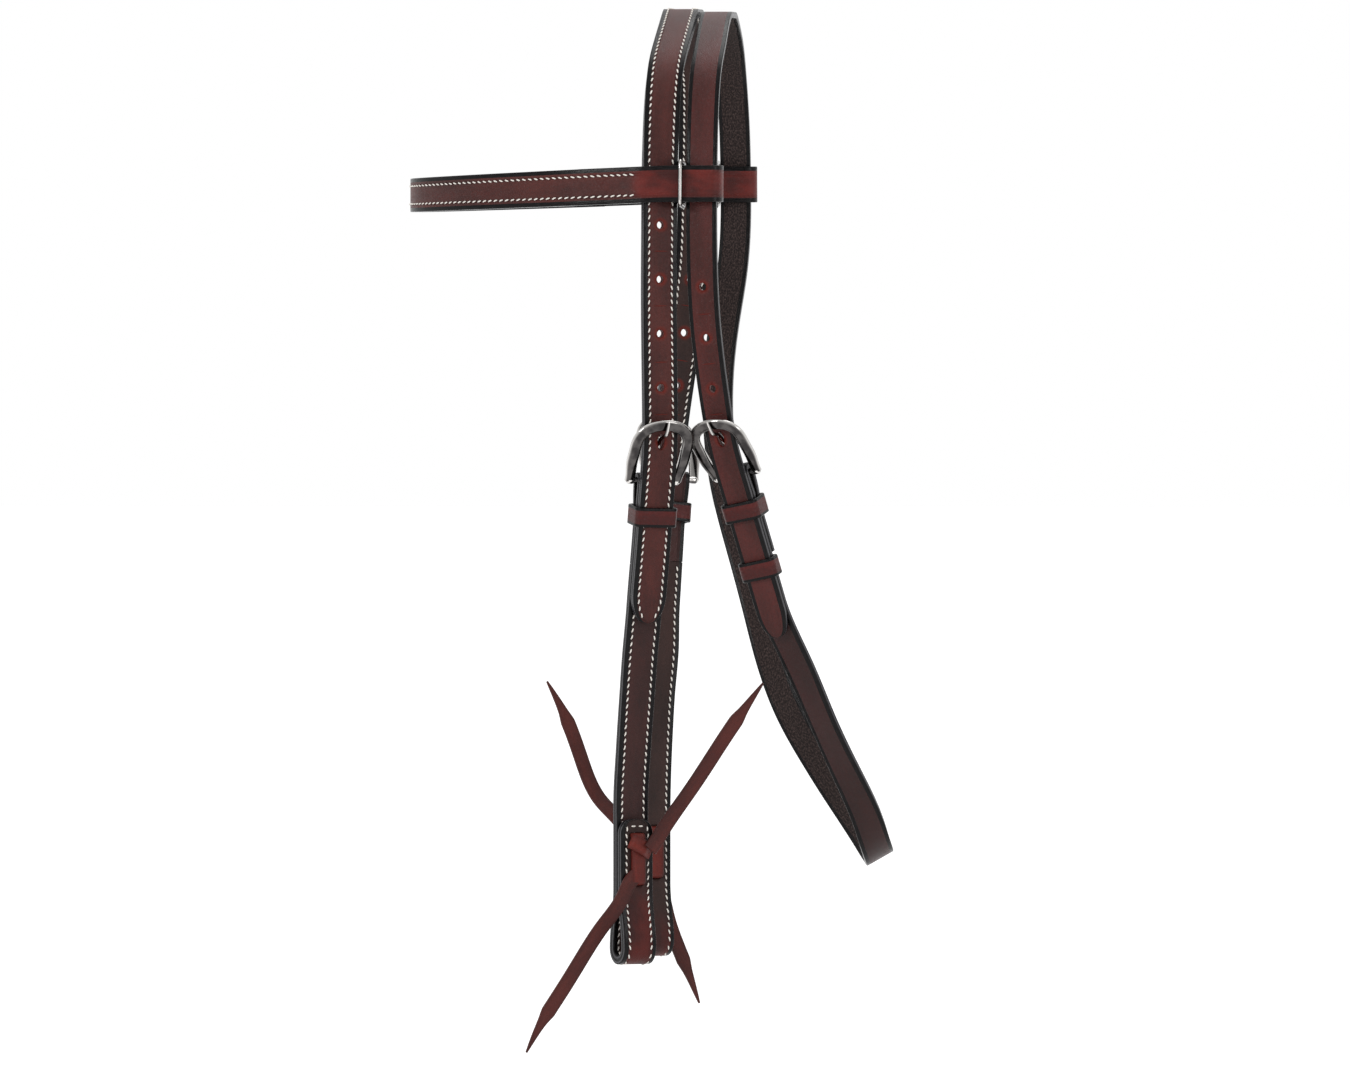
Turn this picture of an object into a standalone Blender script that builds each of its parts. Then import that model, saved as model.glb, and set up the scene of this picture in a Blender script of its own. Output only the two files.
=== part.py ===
"""Western headstall: doubled and stitched leather crown and cheeks, browband with
folded loops, single leather throatlatch, three horseshoe buckles, four keepers and
laced bit ends.

Frame: +Z up, the brow faces -X, the near (left) side of the head is -Y. The origin is
under the middle of the crown strap, where it lies on the poll.
"""
import math

import bmesh
import bpy
import numpy as np
from mathutils import Matrix, Vector

# Driving sizes of the whole headstall, in metres.
HEAD_LENGTH = 0.508
HEAD_HALF_WIDTH = 0.100
BROW_SETBACK = 0.1465

# Leather: the doubled strap has two layers of this thickness.
GAP = 0.0003
STRAP_WIDTH = 0.0190
LAYER = 0.00225
THROAT_WIDTH = 0.0165
THROAT_THICK = 0.0034
THROAT_GAP = 0.001675
BROW_WIDTH = 0.0195
BROW_MIDDLE_WIDTH = 0.0180
BROW_LAYER = 0.0021
EDGE_ROUND = 0.0005
STEP = 0.016

# Buckles.
WIRE = 0.0034
FRAME_LIMB = 0.0060
FRAME_THICK = 0.0030
FRAME_SLACK = 0.0022
FRAME_RISE = 0.0350
FRAME_TILT = math.radians(26.5)
TONGUE = 0.0024
TONGUE_RING = 0.0015
HOLE_RISE = 0.0220
HOLE_WIDTH = 0.0042
HOLE_LENGTH = 0.0100
HOLE_PITCH = 0.0290
THROAT_HOLE_PITCH = 0.0275
BILLET_TAIL = 0.0751
THROAT_TAIL = 0.0853
TIP_LENGTH = 0.0160
TURN_BACK = 0.045
FOLD_RUN = 0.026

# Keepers, browband loops and their wire dividers.
KEEPER_HEIGHT = 0.0105
KEEPER_WALL = 0.0018
KEEPER_SLACK = 0.0006
KEEPER_DROP = 0.0185
KEEPER_PITCH = 0.0330
LOOP_SLACK = 0.0011
DIVIDER_WIRE = 0.0024

# Bit ends: the strap folds round the bit and is laced to itself.
BIT_BORE = 0.0085
FLAP_LENGTH = 0.078
FLAP_CONTACT = 0.038
LACE_WIDTH = 0.0082
LACE_THICK = 0.0022
LACE_TAIL_UP = 0.100
LACE_TAIL_DOWN = 0.098
SLOT_SPACING = 0.026
SLOT_DROP = 0.0085
SLOT_SLACK = 0.0005
POLL_SEAT = 0.030

DOUBLED = 2 * LAYER + GAP
BILLET_OFFSET = WIRE / 2 + GAP + LAYER + GAP + DOUBLED / 2
THROAT_OFFSET = WIRE / 2 + GAP + THROAT_THICK + GAP + THROAT_THICK / 2
THROAT_BESIDE = (STRAP_WIDTH + THROAT_WIDTH) / 2 + THROAT_GAP


def clear_scene():
    for item in list(bpy.data.objects):
        bpy.data.objects.remove(item, do_unlink=True)


def new_collection(name):
    group = bpy.data.collections.new(name)
    bpy.context.scene.collection.children.link(group)
    return group


def leather(name, colour, roughness):
    return material(name, colour, roughness, 0.0)


def material(name, colour, roughness, metallic):
    made = bpy.data.materials.new(name)
    made.use_nodes = True
    shader = made.node_tree.nodes["Principled BSDF"]
    shader.inputs["Base Color"].default_value = (*colour, 1.0)
    shader.inputs["Roughness"].default_value = roughness
    shader.inputs["Metallic"].default_value = metallic
    return made


def spline(rows):
    """Natural cubic spline through the rows, by chord length: returns a function."""
    rows = np.asarray(rows, float)
    chord = np.linalg.norm(np.diff(rows[:, :3], axis=0), axis=1)
    knots = np.concatenate([[0.0], np.cumsum(chord)])
    count = len(rows)
    system = np.zeros((count, count))
    right = np.zeros((count, rows.shape[1]))
    system[0, 0] = system[-1, -1] = 1.0
    for i in range(1, count - 1):
        before, after = chord[i - 1], chord[i]
        system[i, i - 1:i + 2] = before, 2 * (before + after), after
        right[i] = 6 * ((rows[i + 1] - rows[i]) / after - (rows[i] - rows[i - 1]) / before)
    bend = np.linalg.solve(system, right)

    def at(s):
        s = np.clip(s, 0.0, knots[-1])
        i = np.clip(np.searchsorted(knots, s, side="right") - 1, 0, count - 2)
        h = chord[i][:, None]
        left = (knots[i + 1] - s)[:, None]
        gone = (s - knots[i])[:, None]
        return (bend[i] * left ** 3 / (6 * h) + bend[i + 1] * gone ** 3 / (6 * h)
                + (rows[i] / h - bend[i] * h / 6) * left
                + (rows[i + 1] / h - bend[i + 1] * h / 6) * gone)

    return at, knots[-1]


def unit(vectors):
    return vectors / np.linalg.norm(vectors, axis=1, keepdims=True)


class Route:
    """A line in space with a width direction and an outward direction at each station."""

    def __init__(self, points, across):
        self.points = np.asarray(points, float)
        tangent = unit(np.gradient(self.points, axis=0))
        across = np.asarray(across, float)
        across = across - (across * tangent).sum(axis=1, keepdims=True) * tangent
        self.tangent = tangent
        self.across = unit(across)
        self.out = np.cross(self.tangent, self.across)
        steps = np.linalg.norm(np.diff(self.points, axis=0), axis=1)
        self.run = np.concatenate([[0.0], np.cumsum(steps)])

    def frame(self, run):
        """Point, width, along and outward directions at a distance along the route."""
        found = []
        for field in (self.points, self.across, self.tangent, self.out):
            found.append(Vector([np.interp(run, self.run, field[:, k]) for k in range(3)]))
        return found[0], found[1].normalized(), found[2].normalized(), found[3].normalized()


def side_rows(shares, side, bar_share=1.0, tail=0.0, beside=0.0):
    """Rows of (setback, half width, height, twist) shares as places in metres.

    Rows below the bar's height share out the tail, which hangs that far below the bar.
    """
    rows = []
    last = shares[-1][2]
    for setback, half, height, twist in shares:
        drop = height * HEAD_LENGTH
        if height > bar_share:
            drop = bar_share * HEAD_LENGTH + tail * (height - bar_share) / (last - bar_share)
        rows.append((beside + setback * HEAD_LENGTH, side * half * HEAD_HALF_WIDTH, -drop,
                     math.radians(twist)))
    return rows


def strap(name, route, low, high, widths, group, finish, start=0.0, end=None, lined=False):
    """A strip of leather: an open surface beside the route, given its thickness."""
    end = route.run[-1] if end is None else end
    inside = (route.run > start + EDGE_ROUND) & (route.run < end - EDGE_ROUND)
    runs = np.concatenate([[start], route.run[inside], [end]])
    middle = (low + high) / 2
    fields = [np.stack([np.interp(runs, route.run, f[:, k]) for k in range(3)], axis=1)
              for f in (route.points, route.across, route.out)]
    half = np.asarray([widths(r) for r in runs])[:, None] / 2
    centre = fields[0] + fields[2] * middle
    left, right = centre - fields[1] * half, centre + fields[1] * half
    verts = np.stack([left, right], axis=1).reshape(-1, 3)
    faces = []
    for i in range(0, 2 * len(runs) - 2, 2):
        faces += [(i, i + 1, i + 3), (i, i + 3, i + 2)]
    mesh = bpy.data.meshes.new(name)
    mesh.from_pydata(verts.tolist(), [], faces)
    mesh.shade_smooth()
    body = bpy.data.objects.new(name, mesh)
    group.objects.link(body)
    body.data.materials.append(finish)
    wall = body.modifiers.new("Thickness", "SOLIDIFY")
    wall.thickness = high - low
    wall.offset = 0.0
    wall.use_even_offset = True
    if not lined:
        edge = body.modifiers.new("Worn edge", "BEVEL")
        edge.width = min(EDGE_ROUND, (high - low) / 4)
        edge.segments = 1
        edge.limit_method = "ANGLE"
        edge.angle_limit = math.radians(50.0)
    return body


BAR_HEIGHT_share = 0.4907
THROAT_BAR_share = 0.4862

# Side straps: rows of setback, half width, height (shares of the head's sizes) and twist.
NEAR_CROWN_shares = (
    (0.0000, 0.30, 0.0035, 0.0), (-0.0025, 0.55, 0.0270, -3.0), (-0.0060, 0.76, 0.0575, -9.0),
    (-0.0078, 0.91, 0.1120, -16.0), (-0.0083, 0.975, 0.1680, -21.0), (-0.0085, 0.995, 0.2210, -25.0),
    (-0.0088, 1.00, 0.2860, -26.0), (-0.0086, 0.99, 0.3430, -26.0), (-0.0082, 0.975, 0.4000, -26.0),
    (-0.0090, 0.955, 0.4590, -26.0), (-0.0122, 0.935, 0.5010, -26.0), (-0.0152, 0.914, 0.5370, -26.0),
    (-0.0177, 0.895, 0.5670, -26.0), (-0.0213, 0.870, 0.6060, -26.0), (-0.0245, 0.845, 0.6440, -26.0))
FAR_CROWN_shares = (
    (0.0000, 0.30, 0.0035, 0.0), (0.0000, 0.55, 0.0270, 0.0), (0.0005, 0.76, 0.0575, 0.0),
    (-0.0015, 0.91, 0.1120, 2.0), (-0.0035, 0.975, 0.1680, 5.0), (-0.0050, 0.995, 0.2130, 8.0),
    (-0.0078, 1.00, 0.2600, 13.0), (-0.0125, 0.99, 0.3000, 18.0), (-0.0185, 0.975, 0.3500, 22.0),
    (-0.0255, 0.960, 0.4000, 25.0), (-0.0315, 0.940, 0.4500, 26.0), (-0.0345, 0.925, 0.5010, 26.0),
    (-0.0362, 0.903, 0.5370, 26.0), (-0.0376, 0.885, 0.5670, 26.0), (-0.0395, 0.861, 0.6060, 26.0),
    (-0.0413, 0.838, 0.6440, 26.0))
NEAR_CHEEK_shares = (
    (-0.0326, 0.776, 0.6720, -27.0), (-0.0360, 0.744, 0.7120, -28.0), (-0.0392, 0.714, 0.7500, -30.0),
    (-0.0419, 0.689, 0.7850, -32.0), (-0.0441, 0.670, 0.8180, -33.0))
FAR_CHEEK_shares = (
    (-0.0370, 0.776, 0.6720, 26.5), (-0.0398, 0.744, 0.7120, 27.5), (-0.0416, 0.714, 0.7500, 29.0),
    (-0.0427, 0.689, 0.7850, 31.0), (-0.0433, 0.670, 0.8180, 32.5))
BIT_PLACE_shares = {-1: (-0.0445, 0.659), 1: (-0.0435, 0.659)}
BIT_TWISTS = {-1: math.radians(-33.0), 1: math.radians(33.0)}

# Throatlatch, behind its place beside the crown strap: the billet side, then the run under
# the throat and up the far side.
THROAT_BILLET_shares = (
    (0.0000, 0.30, 0.0048, 0.0), (0.0000, 0.55, 0.0285, 0.0), (-0.0015, 0.76, 0.0590, 0.0),
    (-0.0020, 0.91, 0.1130, 3.0), (-0.0020, 0.970, 0.1680, 6.0), (-0.0018, 0.990, 0.2210, 8.0),
    (-0.0008, 0.985, 0.2760, 10.0), (0.0015, 0.970, 0.3200, 12.0), (0.0060, 0.950, 0.3650, 14.0),
    (0.0120, 0.925, 0.4100, 16.0), (0.0205, 0.895, 0.4570, 17.0), (0.0310, 0.860, 0.4960, 17.0),
    (0.0415, 0.824, 0.5350, 17.0), (0.0523, 0.788, 0.5750, 17.0), (0.0631, 0.752, 0.6150, 17.0),
    (0.0750, 0.712, 0.6590, 17.0))
THROAT_LOWER_shares = (
    (-1, 0.0980, 0.615, 0.6850, 17.0), (-1, 0.1205, 0.520, 0.7400, 17.0),
    (-1, 0.1445, 0.400, 0.7990, 14.0), (-1, 0.1625, 0.280, 0.8480, 8.0),
    (-1, 0.1725, 0.165, 0.8800, 3.0), (1, 0.1755, 0.000, 0.8950, 0.0),
    (1, 0.1670, 0.150, 0.8860, 0.0), (1, 0.1510, 0.255, 0.8630, -4.0),
    (1, 0.1230, 0.380, 0.8220, -8.0), (1, 0.0955, 0.480, 0.7800, -12.0),
    (1, 0.0705, 0.575, 0.7370, -14.0), (1, 0.0490, 0.665, 0.6850, -14.0),
    (1, 0.0300, 0.750, 0.6250, -12.0), (1, 0.0100, 0.830, 0.5630, -10.0),
    (1, -0.0080, 0.890, 0.4980, -8.0), (1, -0.0165, 0.930, 0.4330, -8.0),
    (1, -0.0160, 0.955, 0.3700, -8.0), (1, -0.0095, 0.972, 0.3150, -8.0),
    (1, -0.0020, 0.983, 0.2650, -8.0), (1, 0.0012, 0.988, 0.2150, -7.0),
    (1, 0.0015, 0.970, 0.1680, -5.0), (1, 0.0010, 0.910, 0.1130, -2.0),
    (1, 0.0000, 0.760, 0.0590, 0.0), (1, 0.0005, 0.550, 0.0285, 0.0),
    (1, 0.0000, 0.300, 0.0048, 0.0))

# Browband seen from above: setback as a share of the brow's, side as a share of half width.
BROW_DROP_share = 0.176
BROW_DIP_share = 0.012
BROW_LEAN = math.radians(4.0)
BROW_shares = (
    (-0.160, 1.030), (-0.300, 0.978), (-0.500, 0.855), (-0.700, 0.680), (-0.865, 0.455),
    (-0.970, 0.225), (-1.000, 0.000))


def stations(at, length, bend_limit=math.radians(15.0)):
    """Distances along a spline, closer together where it bends."""
    fine = np.linspace(0.0, length, 1600)
    points = at(fine)[:, :3]
    tangent = unit(np.gradient(points, axis=0))
    turn = np.arccos(np.clip((tangent[1:] * tangent[:-1]).sum(axis=1), -1.0, 1.0))
    due = np.cumsum(np.diff(fine) / STEP + turn / bend_limit)
    count = max(int(math.ceil(due[-1])), 4)
    return np.interp(np.linspace(0.0, due[-1], count + 1), np.concatenate([[0.0], due]), fine)


def route_through(rows, flat_seat=False):
    """Route along a spline of (x, y, z, signed twist) rows, width direction along X."""
    at, length = spline(rows)
    found = at(stations(at, length))
    if flat_seat:
        on_seat = (np.abs(found[:, 1]) < POLL_SEAT / 2 + STEP / 3) & (found[:, 2] > -POLL_SEAT)
        seat = np.array([row for row in rows
                         if abs(row[1]) <= POLL_SEAT / 2 and row[2] > -POLL_SEAT])
        first = int(np.argmax(on_seat))
        found = np.concatenate([found[:first], seat, found[first:][~on_seat[first:]]])
    twist = found[:, 3]
    across = np.stack([np.cos(twist), np.sin(twist), np.zeros_like(twist)], axis=1)
    return Route(found[:, :3], across)


def signed(rows, side):
    return [(x, y, z, side * twist) for x, y, z, twist in rows]


def crown_route():
    """The doubled crown strap's middle line, from the far billet's tip to the near one's."""
    far = signed(side_rows(FAR_CROWN_shares, 1, BAR_HEIGHT_share, BILLET_TAIL), 1)[::-1]
    near = signed(side_rows(NEAR_CROWN_shares, -1, BAR_HEIGHT_share, BILLET_TAIL), -1)
    seat = [(0.0, side * POLL_SEAT / 2, DOUBLED / 2, 0.0) for side in (1, -1)]
    return route_through(far + seat + near, flat_seat=True)


def blend(run, length):
    """Smooth fall from one to zero over a length."""
    share = np.clip(np.asarray(run) / length, 0.0, 1.0)
    return 1.0 - share * share * (3.0 - 2.0 * share)


def bar_run(route, side, height_share):
    """Distance along the crown route at which its side passes the buckle bar's height."""
    on_side = route.points[:, 1] * side > 0
    gaps = np.where(on_side, np.abs(route.points[:, 2] + height_share * HEAD_LENGTH), HEAD_LENGTH)
    near = int(gaps.argmin())
    order = np.argsort(route.points[near - 1:near + 2, 2])
    runs = route.run[near - 1:near + 2][order]
    heights = route.points[near - 1:near + 2, 2][order]
    return float(np.interp(-height_share * HEAD_LENGTH, heights, runs))


def cheek_route(crown, side):
    """Middle line of the doubled cheek: behind the billet, then down and round the bit."""
    start = bar_run(crown, side, BAR_HEIGHT_share)
    rows = []
    for drop in np.arange(0.0, BILLET_TAIL, STEP / 2):
        run = start - drop if side > 0 else start + drop
        point, across, tangent, out = crown.frame(run)
        offset = DOUBLED + GAP + (BILLET_OFFSET - DOUBLED - GAP) * float(blend(drop, FOLD_RUN))
        place = point - out * offset
        rows.append((*place, math.atan2(across.y, across.x)))
    table = NEAR_CHEEK_shares if side < 0 else FAR_CHEEK_shares
    rows += signed(side_rows(table, side), side)
    setback, half = BIT_PLACE_shares[side]
    x, y = setback * HEAD_LENGTH, side * half * HEAD_HALF_WIDTH
    radius = (BIT_BORE + DOUBLED) / 2
    floor = -HEAD_LENGTH + DOUBLED / 2 + radius
    contact = -HEAD_LENGTH + FLAP_LENGTH - FLAP_CONTACT
    twist = side * BIT_TWISTS[side]
    outward = bit_frame(side)[2]
    middle = (DOUBLED + GAP) / 2
    for share in (1.0, 0.75, 0.5, 0.25, 0.0):
        rows.append((x, y, contact + FLAP_CONTACT * share, twist))
    at, length = spline(rows)
    found = at(stations(at, length))
    points = [Vector(row[:3]) for row in found]
    twists = list(found[:, 3])
    base = Vector((x, y, 0.0))

    def add(height, outness):
        points.append(base + outward * outness + Vector((0.0, 0.0, height)))
        twists.append(twist)

    sway_count = 5
    for i in range(1, sway_count):
        share = i / sway_count
        sway = 1.0 - float(blend(share, 1.0))
        add(contact + (floor - contact) * share, (middle - radius) * sway)
    arc_count = 9
    for i in range(arc_count + 1):
        angle = math.pi * i / arc_count
        add(floor - radius * math.sin(angle), middle - radius * math.cos(angle))
    for i in range(sway_count - 1, 0, -1):
        share = i / sway_count
        sway = 1.0 - float(blend(share, 1.0))
        add(contact + (floor - contact) * share, 2 * middle - (middle - radius) * sway)
    flap_count = 4
    for i in range(flap_count + 1):
        add(contact + FLAP_CONTACT * i / flap_count, 2 * middle)
    twists = np.array(twists)
    flat = np.stack([np.cos(twists), np.sin(twists), np.zeros_like(twists)], axis=1) * -side
    return Route([tuple(p) for p in points], flat)


def wrapped(route, before, behind, thickness, tab):
    """A layer's own line: up the back from the tab's end, round the bar, down the front."""
    front = WIRE / 2 + GAP + thickness / 2

    def place(run, sign):
        point, across, _, out = route.frame(run)
        middle = before if sign > 0 else behind
        offset = middle + (front - middle) * float(blend(run, FOLD_RUN))
        return point + out * (offset * sign), across

    points, flats = [], []
    for run in np.linspace(tab, 0.0, 12):
        point, across = place(run, -1.0)
        points.append(point)
        flats.append(across)
    centre, across, tangent, out = route.frame(0.0)
    arc_count = 8
    for i in range(1, arc_count):
        angle = math.pi * i / arc_count
        points.append(centre - out * (front * math.cos(angle)) - tangent * (front * math.sin(angle)))
        flats.append(across)
    fold = np.linspace(0.0, FOLD_RUN, 10)[:-1]
    for run in np.concatenate([fold, route.run[route.run >= FOLD_RUN]]):
        point, across = place(run, 1.0)
        points.append(point)
        flats.append(across)
    return Route([tuple(p) for p in points], [tuple(f) for f in flats])


def to_world(origin, u, v, n):
    """Matrix whose X, Y and Z columns are three directions at an origin."""
    return Matrix((
        (u.x, v.x, n.x, origin.x), (u.y, v.y, n.y, origin.y),
        (u.z, v.z, n.z, origin.z), (0.0, 0.0, 0.0, 1.0)))


def cut(body, cutter, group):
    """Subtract a cutter, which stays in the cutters' collection as a wire."""
    for linked in list(cutter.users_collection):
        linked.objects.unlink(cutter)
    group.objects.link(cutter)
    cutter.hide_render = True
    cutter.display_type = "WIRE"
    step = body.modifiers.new("Cut", "BOOLEAN")
    step.operation = "DIFFERENCE"
    step.object = cutter
    step.solver = "EXACT"


def punch(name, place, width, length, depth):
    """A round or oval punch standing along the place's Z axis."""
    mesh = bpy.data.meshes.new(name)
    shape = bmesh.new()
    bmesh.ops.create_cone(shape, cap_ends=True, segments=10, radius1=width / 2,
                          radius2=width / 2, depth=depth)
    bmesh.ops.scale(shape, vec=(1.0, length / width, 1.0), verts=shape.verts)
    shape.to_mesh(mesh)
    shape.free()
    made = bpy.data.objects.new(name, mesh)
    made.matrix_world = place
    bpy.context.scene.collection.objects.link(made)
    return made


def block(name, place, size):
    """A square punch centred on a place."""
    mesh = bpy.data.meshes.new(name)
    shape = bmesh.new()
    bmesh.ops.create_cube(shape, size=1.0)
    bmesh.ops.scale(shape, vec=size, verts=shape.verts)
    shape.to_mesh(mesh)
    shape.free()
    made = bpy.data.objects.new(name, mesh)
    made.matrix_world = place
    bpy.context.scene.collection.objects.link(made)
    return made


def poly_curve(name, loops, depth, edge=0.0, flat=True, closed=True):
    """A flat outline with a thickness, or an open wire of a radius."""
    data = bpy.data.curves.new(name, "CURVE")
    data.dimensions = "2D" if flat else "3D"
    for loop in loops:
        line = data.splines.new("POLY")
        line.points.add(len(loop) - 1)
        for point, place in zip(line.points, loop):
            point.co = (*place, 0.0, 1.0) if len(place) == 2 else (*place, 1.0)
        line.use_cyclic_u = closed
    if flat:
        data.fill_mode = "BOTH"
        data.extrude = depth / 2 - edge
        data.bevel_depth = edge
        data.bevel_resolution = 0
        data.offset = -edge
    else:
        data.bevel_depth = depth / 2
        data.bevel_resolution = 2
        data.use_fill_caps = True
    return bpy.data.objects.new(name, data)


def as_mesh(curve, name, place, group, finish):
    """The curve's solid as a mesh object at a place."""
    bpy.context.scene.collection.objects.link(curve)
    bpy.context.view_layer.update()
    graph = bpy.context.evaluated_depsgraph_get()
    mesh = bpy.data.meshes.new_from_object(curve.evaluated_get(graph))
    mesh.name = name
    shape = bmesh.new()
    shape.from_mesh(mesh)
    bmesh.ops.remove_doubles(shape, verts=shape.verts, dist=GAP / 30)
    bmesh.ops.recalc_face_normals(shape, faces=shape.faces)
    shape.to_mesh(mesh)
    shape.free()
    old = curve.data
    bpy.data.objects.remove(curve, do_unlink=True)
    bpy.data.curves.remove(old)
    mesh.materials.clear()
    mesh.materials.append(finish)
    mesh.shade_smooth()
    mesh.set_sharp_from_angle(angle=math.radians(40.0))
    made = bpy.data.objects.new(name, mesh)
    made.matrix_world = place
    group.objects.link(made)
    return made


def join(body, other, group):
    """Unite a second solid with the body, and keep it among the cutters."""
    for linked in list(other.users_collection):
        linked.objects.unlink(other)
    group.objects.link(other)
    other.hide_render = True
    other.display_type = "WIRE"
    step = body.modifiers.new("Join", "BOOLEAN")
    step.operation = "UNION"
    step.object = other
    step.solver = "EXACT"


def arch(half_width, foot, top, count=11):
    """Points up one limb, over a rounded arch and down the other, in a flat plane."""
    spring = top - half_width * 1.18
    points = [(half_width, foot)]
    for i in range(count + 1):
        angle = math.pi * i / count
        points.append((half_width * math.cos(angle), spring + (top - spring) * math.sin(angle)))
    points.append((-half_width, foot))
    return points


def buckle(side_name, strap_width, offset, billet_thick, place, lean, groups, finishes):
    """Horseshoe frame and tongue at a bar place: X across, Y up the strap, Z outward.

    The tongue leans sideways by a share of its height, to meet its hole.
    """
    parts, cutters = groups
    inner = strap_width / 2 + FRAME_SLACK
    neck = inner + WIRE
    outer = inner + FRAME_LIMB
    foot = 2 * WIRE
    top = FRAME_RISE + FRAME_LIMB / 2
    outline = arch(outer, foot, top)
    outline += [(-neck, foot), (-neck, -WIRE / 2), (-inner, -WIRE / 2)]
    outline += arch(inner, foot, top - FRAME_LIMB)[::-1]
    outline += [(inner, -WIRE / 2), (neck, -WIRE / 2), (neck, foot)]
    tilt = place @ Matrix.Rotation(FRAME_TILT, 4, "X")
    frame = poly_curve(side_name + "_buckle_frame", [outline], FRAME_THICK, FRAME_THICK / 5)
    frame = as_mesh(frame, side_name + "_buckle_frame", tilt, parts, finishes["steel"])
    bar = poly_curve("bar", [[(-neck + GAP, 0.0, 0.0), (neck - GAP, 0.0, 0.0)]], WIRE, flat=False,
                     closed=False)
    bar = as_mesh(bar, side_name + "_buckle_bar_core", tilt, cutters, finishes["steel"])
    join(frame, bar, cutters)

    ring_out = WIRE / 2 + GAP + TONGUE_RING
    ring_in = WIRE / 2 + GAP
    circle = [(math.cos(math.tau * i / 12), math.sin(math.tau * i / 12)) for i in range(12)]
    rings = [[(x * r, y * r) for x, y in circle] for r in (ring_out, ring_in)]
    ring = poly_curve("ring", rings, TONGUE + GAP)
    on_side = place @ Matrix.Rotation(math.radians(90.0), 4, "Y")
    tongue = as_mesh(ring, side_name + "_buckle_tongue", on_side, parts, finishes["steel"])
    back = offset - billet_thick / 2
    front = offset + billet_thick / 2
    under = back - 3 * GAP - TONGUE / 2
    arch_up = FRAME_RISE * math.cos(FRAME_TILT)
    over = FRAME_RISE * math.sin(FRAME_TILT) + (FRAME_THICK / 2 + GAP + TONGUE / 2) \
        / math.cos(FRAME_TILT)
    slope, rise = math.cos(FRAME_TILT), math.sin(FRAME_TILT)
    clear = GAP + TONGUE / 2
    inside = FRAME_RISE - FRAME_LIMB / 2
    corner_up = inside * slope - FRAME_THICK / 2 * rise - clear * 0.8
    corner_out = inside * rise + FRAME_THICK / 2 * slope + clear * 0.6
    hole_low = HOLE_RISE - HOLE_LENGTH / 2
    rod = [(ring_out - TONGUE_RING / 2, under * 0.25), (ring_out * 1.8, under * 0.85),
           (hole_low * 0.75, under), (hole_low + TONGUE * 0.35, under),
           (hole_low + TONGUE * 1.45, back + TONGUE * 0.25),
           (HOLE_RISE + HOLE_LENGTH * 0.18, front + TONGUE * 0.1), (corner_up, corner_out),
           (arch_up, over), (arch_up + FRAME_LIMB * 0.42 * slope, over + FRAME_LIMB * 0.42 * rise)]
    rod = [((up - rod[0][0]) * lean, up, out) for up, out in rod]
    shaft = poly_curve("shaft", [rod], TONGUE, flat=False, closed=False)
    shaft = as_mesh(shaft, side_name + "_buckle_tongue_core", place, cutters, finishes["steel"])
    join(tongue, shaft, cutters)
    return frame, tongue


def tongue_slot(body, place, thickness, cutters):
    """Open the fold round the bar for the tongue's ring."""
    fold = WIRE / 2 + GAP + thickness + GAP / 2
    ring = WIRE / 2 + 3 * GAP + TONGUE_RING
    size = (TONGUE + 4 * GAP, fold + ring, 2 * fold)
    centre = place @ Matrix.Translation((0.0, (fold - ring) / 2, 0.0))
    cut(body, block(body.name + "_tongue_slot", centre, size), cutters)


def fold_half(run, rest, thickness):
    """How far the fold's faces stand from its middle line at a distance below the bar."""
    front = WIRE / 2 + GAP + thickness / 2
    return rest + (front - rest) * float(blend(run, FOLD_RUN)) + thickness / 2


def spread(run, rest, offset):
    """How far the billet's middle stands from the fold's at a distance below the bar."""
    return rest + (offset - rest) * float(blend(run, FOLD_RUN))


def buckle_place(fold, billet, start, toward_top):
    """The bar's place in its fold, with Y along the billet, and the hole's sideways lean."""
    bar, across, _, out = fold.frame(0.0)
    low = billet.frame(start)[0]
    high = billet.frame(start + toward_top * FRAME_RISE)[0]
    up = high - low
    up = (up - across * up.dot(across)).normalized()
    if across.cross(up).dot(out) < 0:
        across = -across
    place = to_world(bar, across, up, across.cross(up))
    hole = place.inverted() @ billet.frame(start + toward_top * HOLE_RISE)[0]
    return place, hole.x / hole.y


def rounded_loop(half_x, half_y, radius, count=3):
    """Rectangle with rounded corners."""
    points = []
    for cx, cy, start in ((1, 1, 0.0), (-1, 1, 0.5), (-1, -1, 1.0), (1, -1, 1.5)):
        for i in range(count + 1):
            angle = math.pi * (start + 0.5 * i / count)
            points.append((cx * (half_x - radius) + radius * math.cos(angle),
                           cy * (half_y - radius) + radius * math.sin(angle)))
    return points


def keeper(name, route, run, low, high, strap_width, parts, finish):
    """A leather band round the straps that lie between two depths beside a route."""
    centre, across, tangent, out = route.frame(run)
    half_x = strap_width / 2 + KEEPER_SLACK
    half_y = (high - low) / 2 + KEEPER_SLACK
    loops = [rounded_loop(half_x + KEEPER_WALL, half_y + KEEPER_WALL, KEEPER_WALL * 1.6),
             rounded_loop(half_x, half_y, KEEPER_WALL * 0.6)]
    band = poly_curve(name, loops, KEEPER_HEIGHT, KEEPER_WALL / 6)
    middle = centre + out * ((low + high) / 2)
    return as_mesh(band, name, to_world(middle, across, out, across.cross(out)), parts, finish)


def point_width(full, length, run_of_tip, tip_share=0.16):
    """Strap width that narrows in a pointed curve over the last length before a run."""
    def width(run):
        left = abs(run_of_tip - run)
        if left >= length:
            return full
        share = left / length
        return full * (tip_share + (1.0 - tip_share) * math.sqrt(1.0 - (1.0 - share) ** 2))
    return width


def both_points(full, length, first, last):
    one, two = point_width(full, length, first), point_width(full, length, last)
    return lambda run: min(one(run), two(run))


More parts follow.
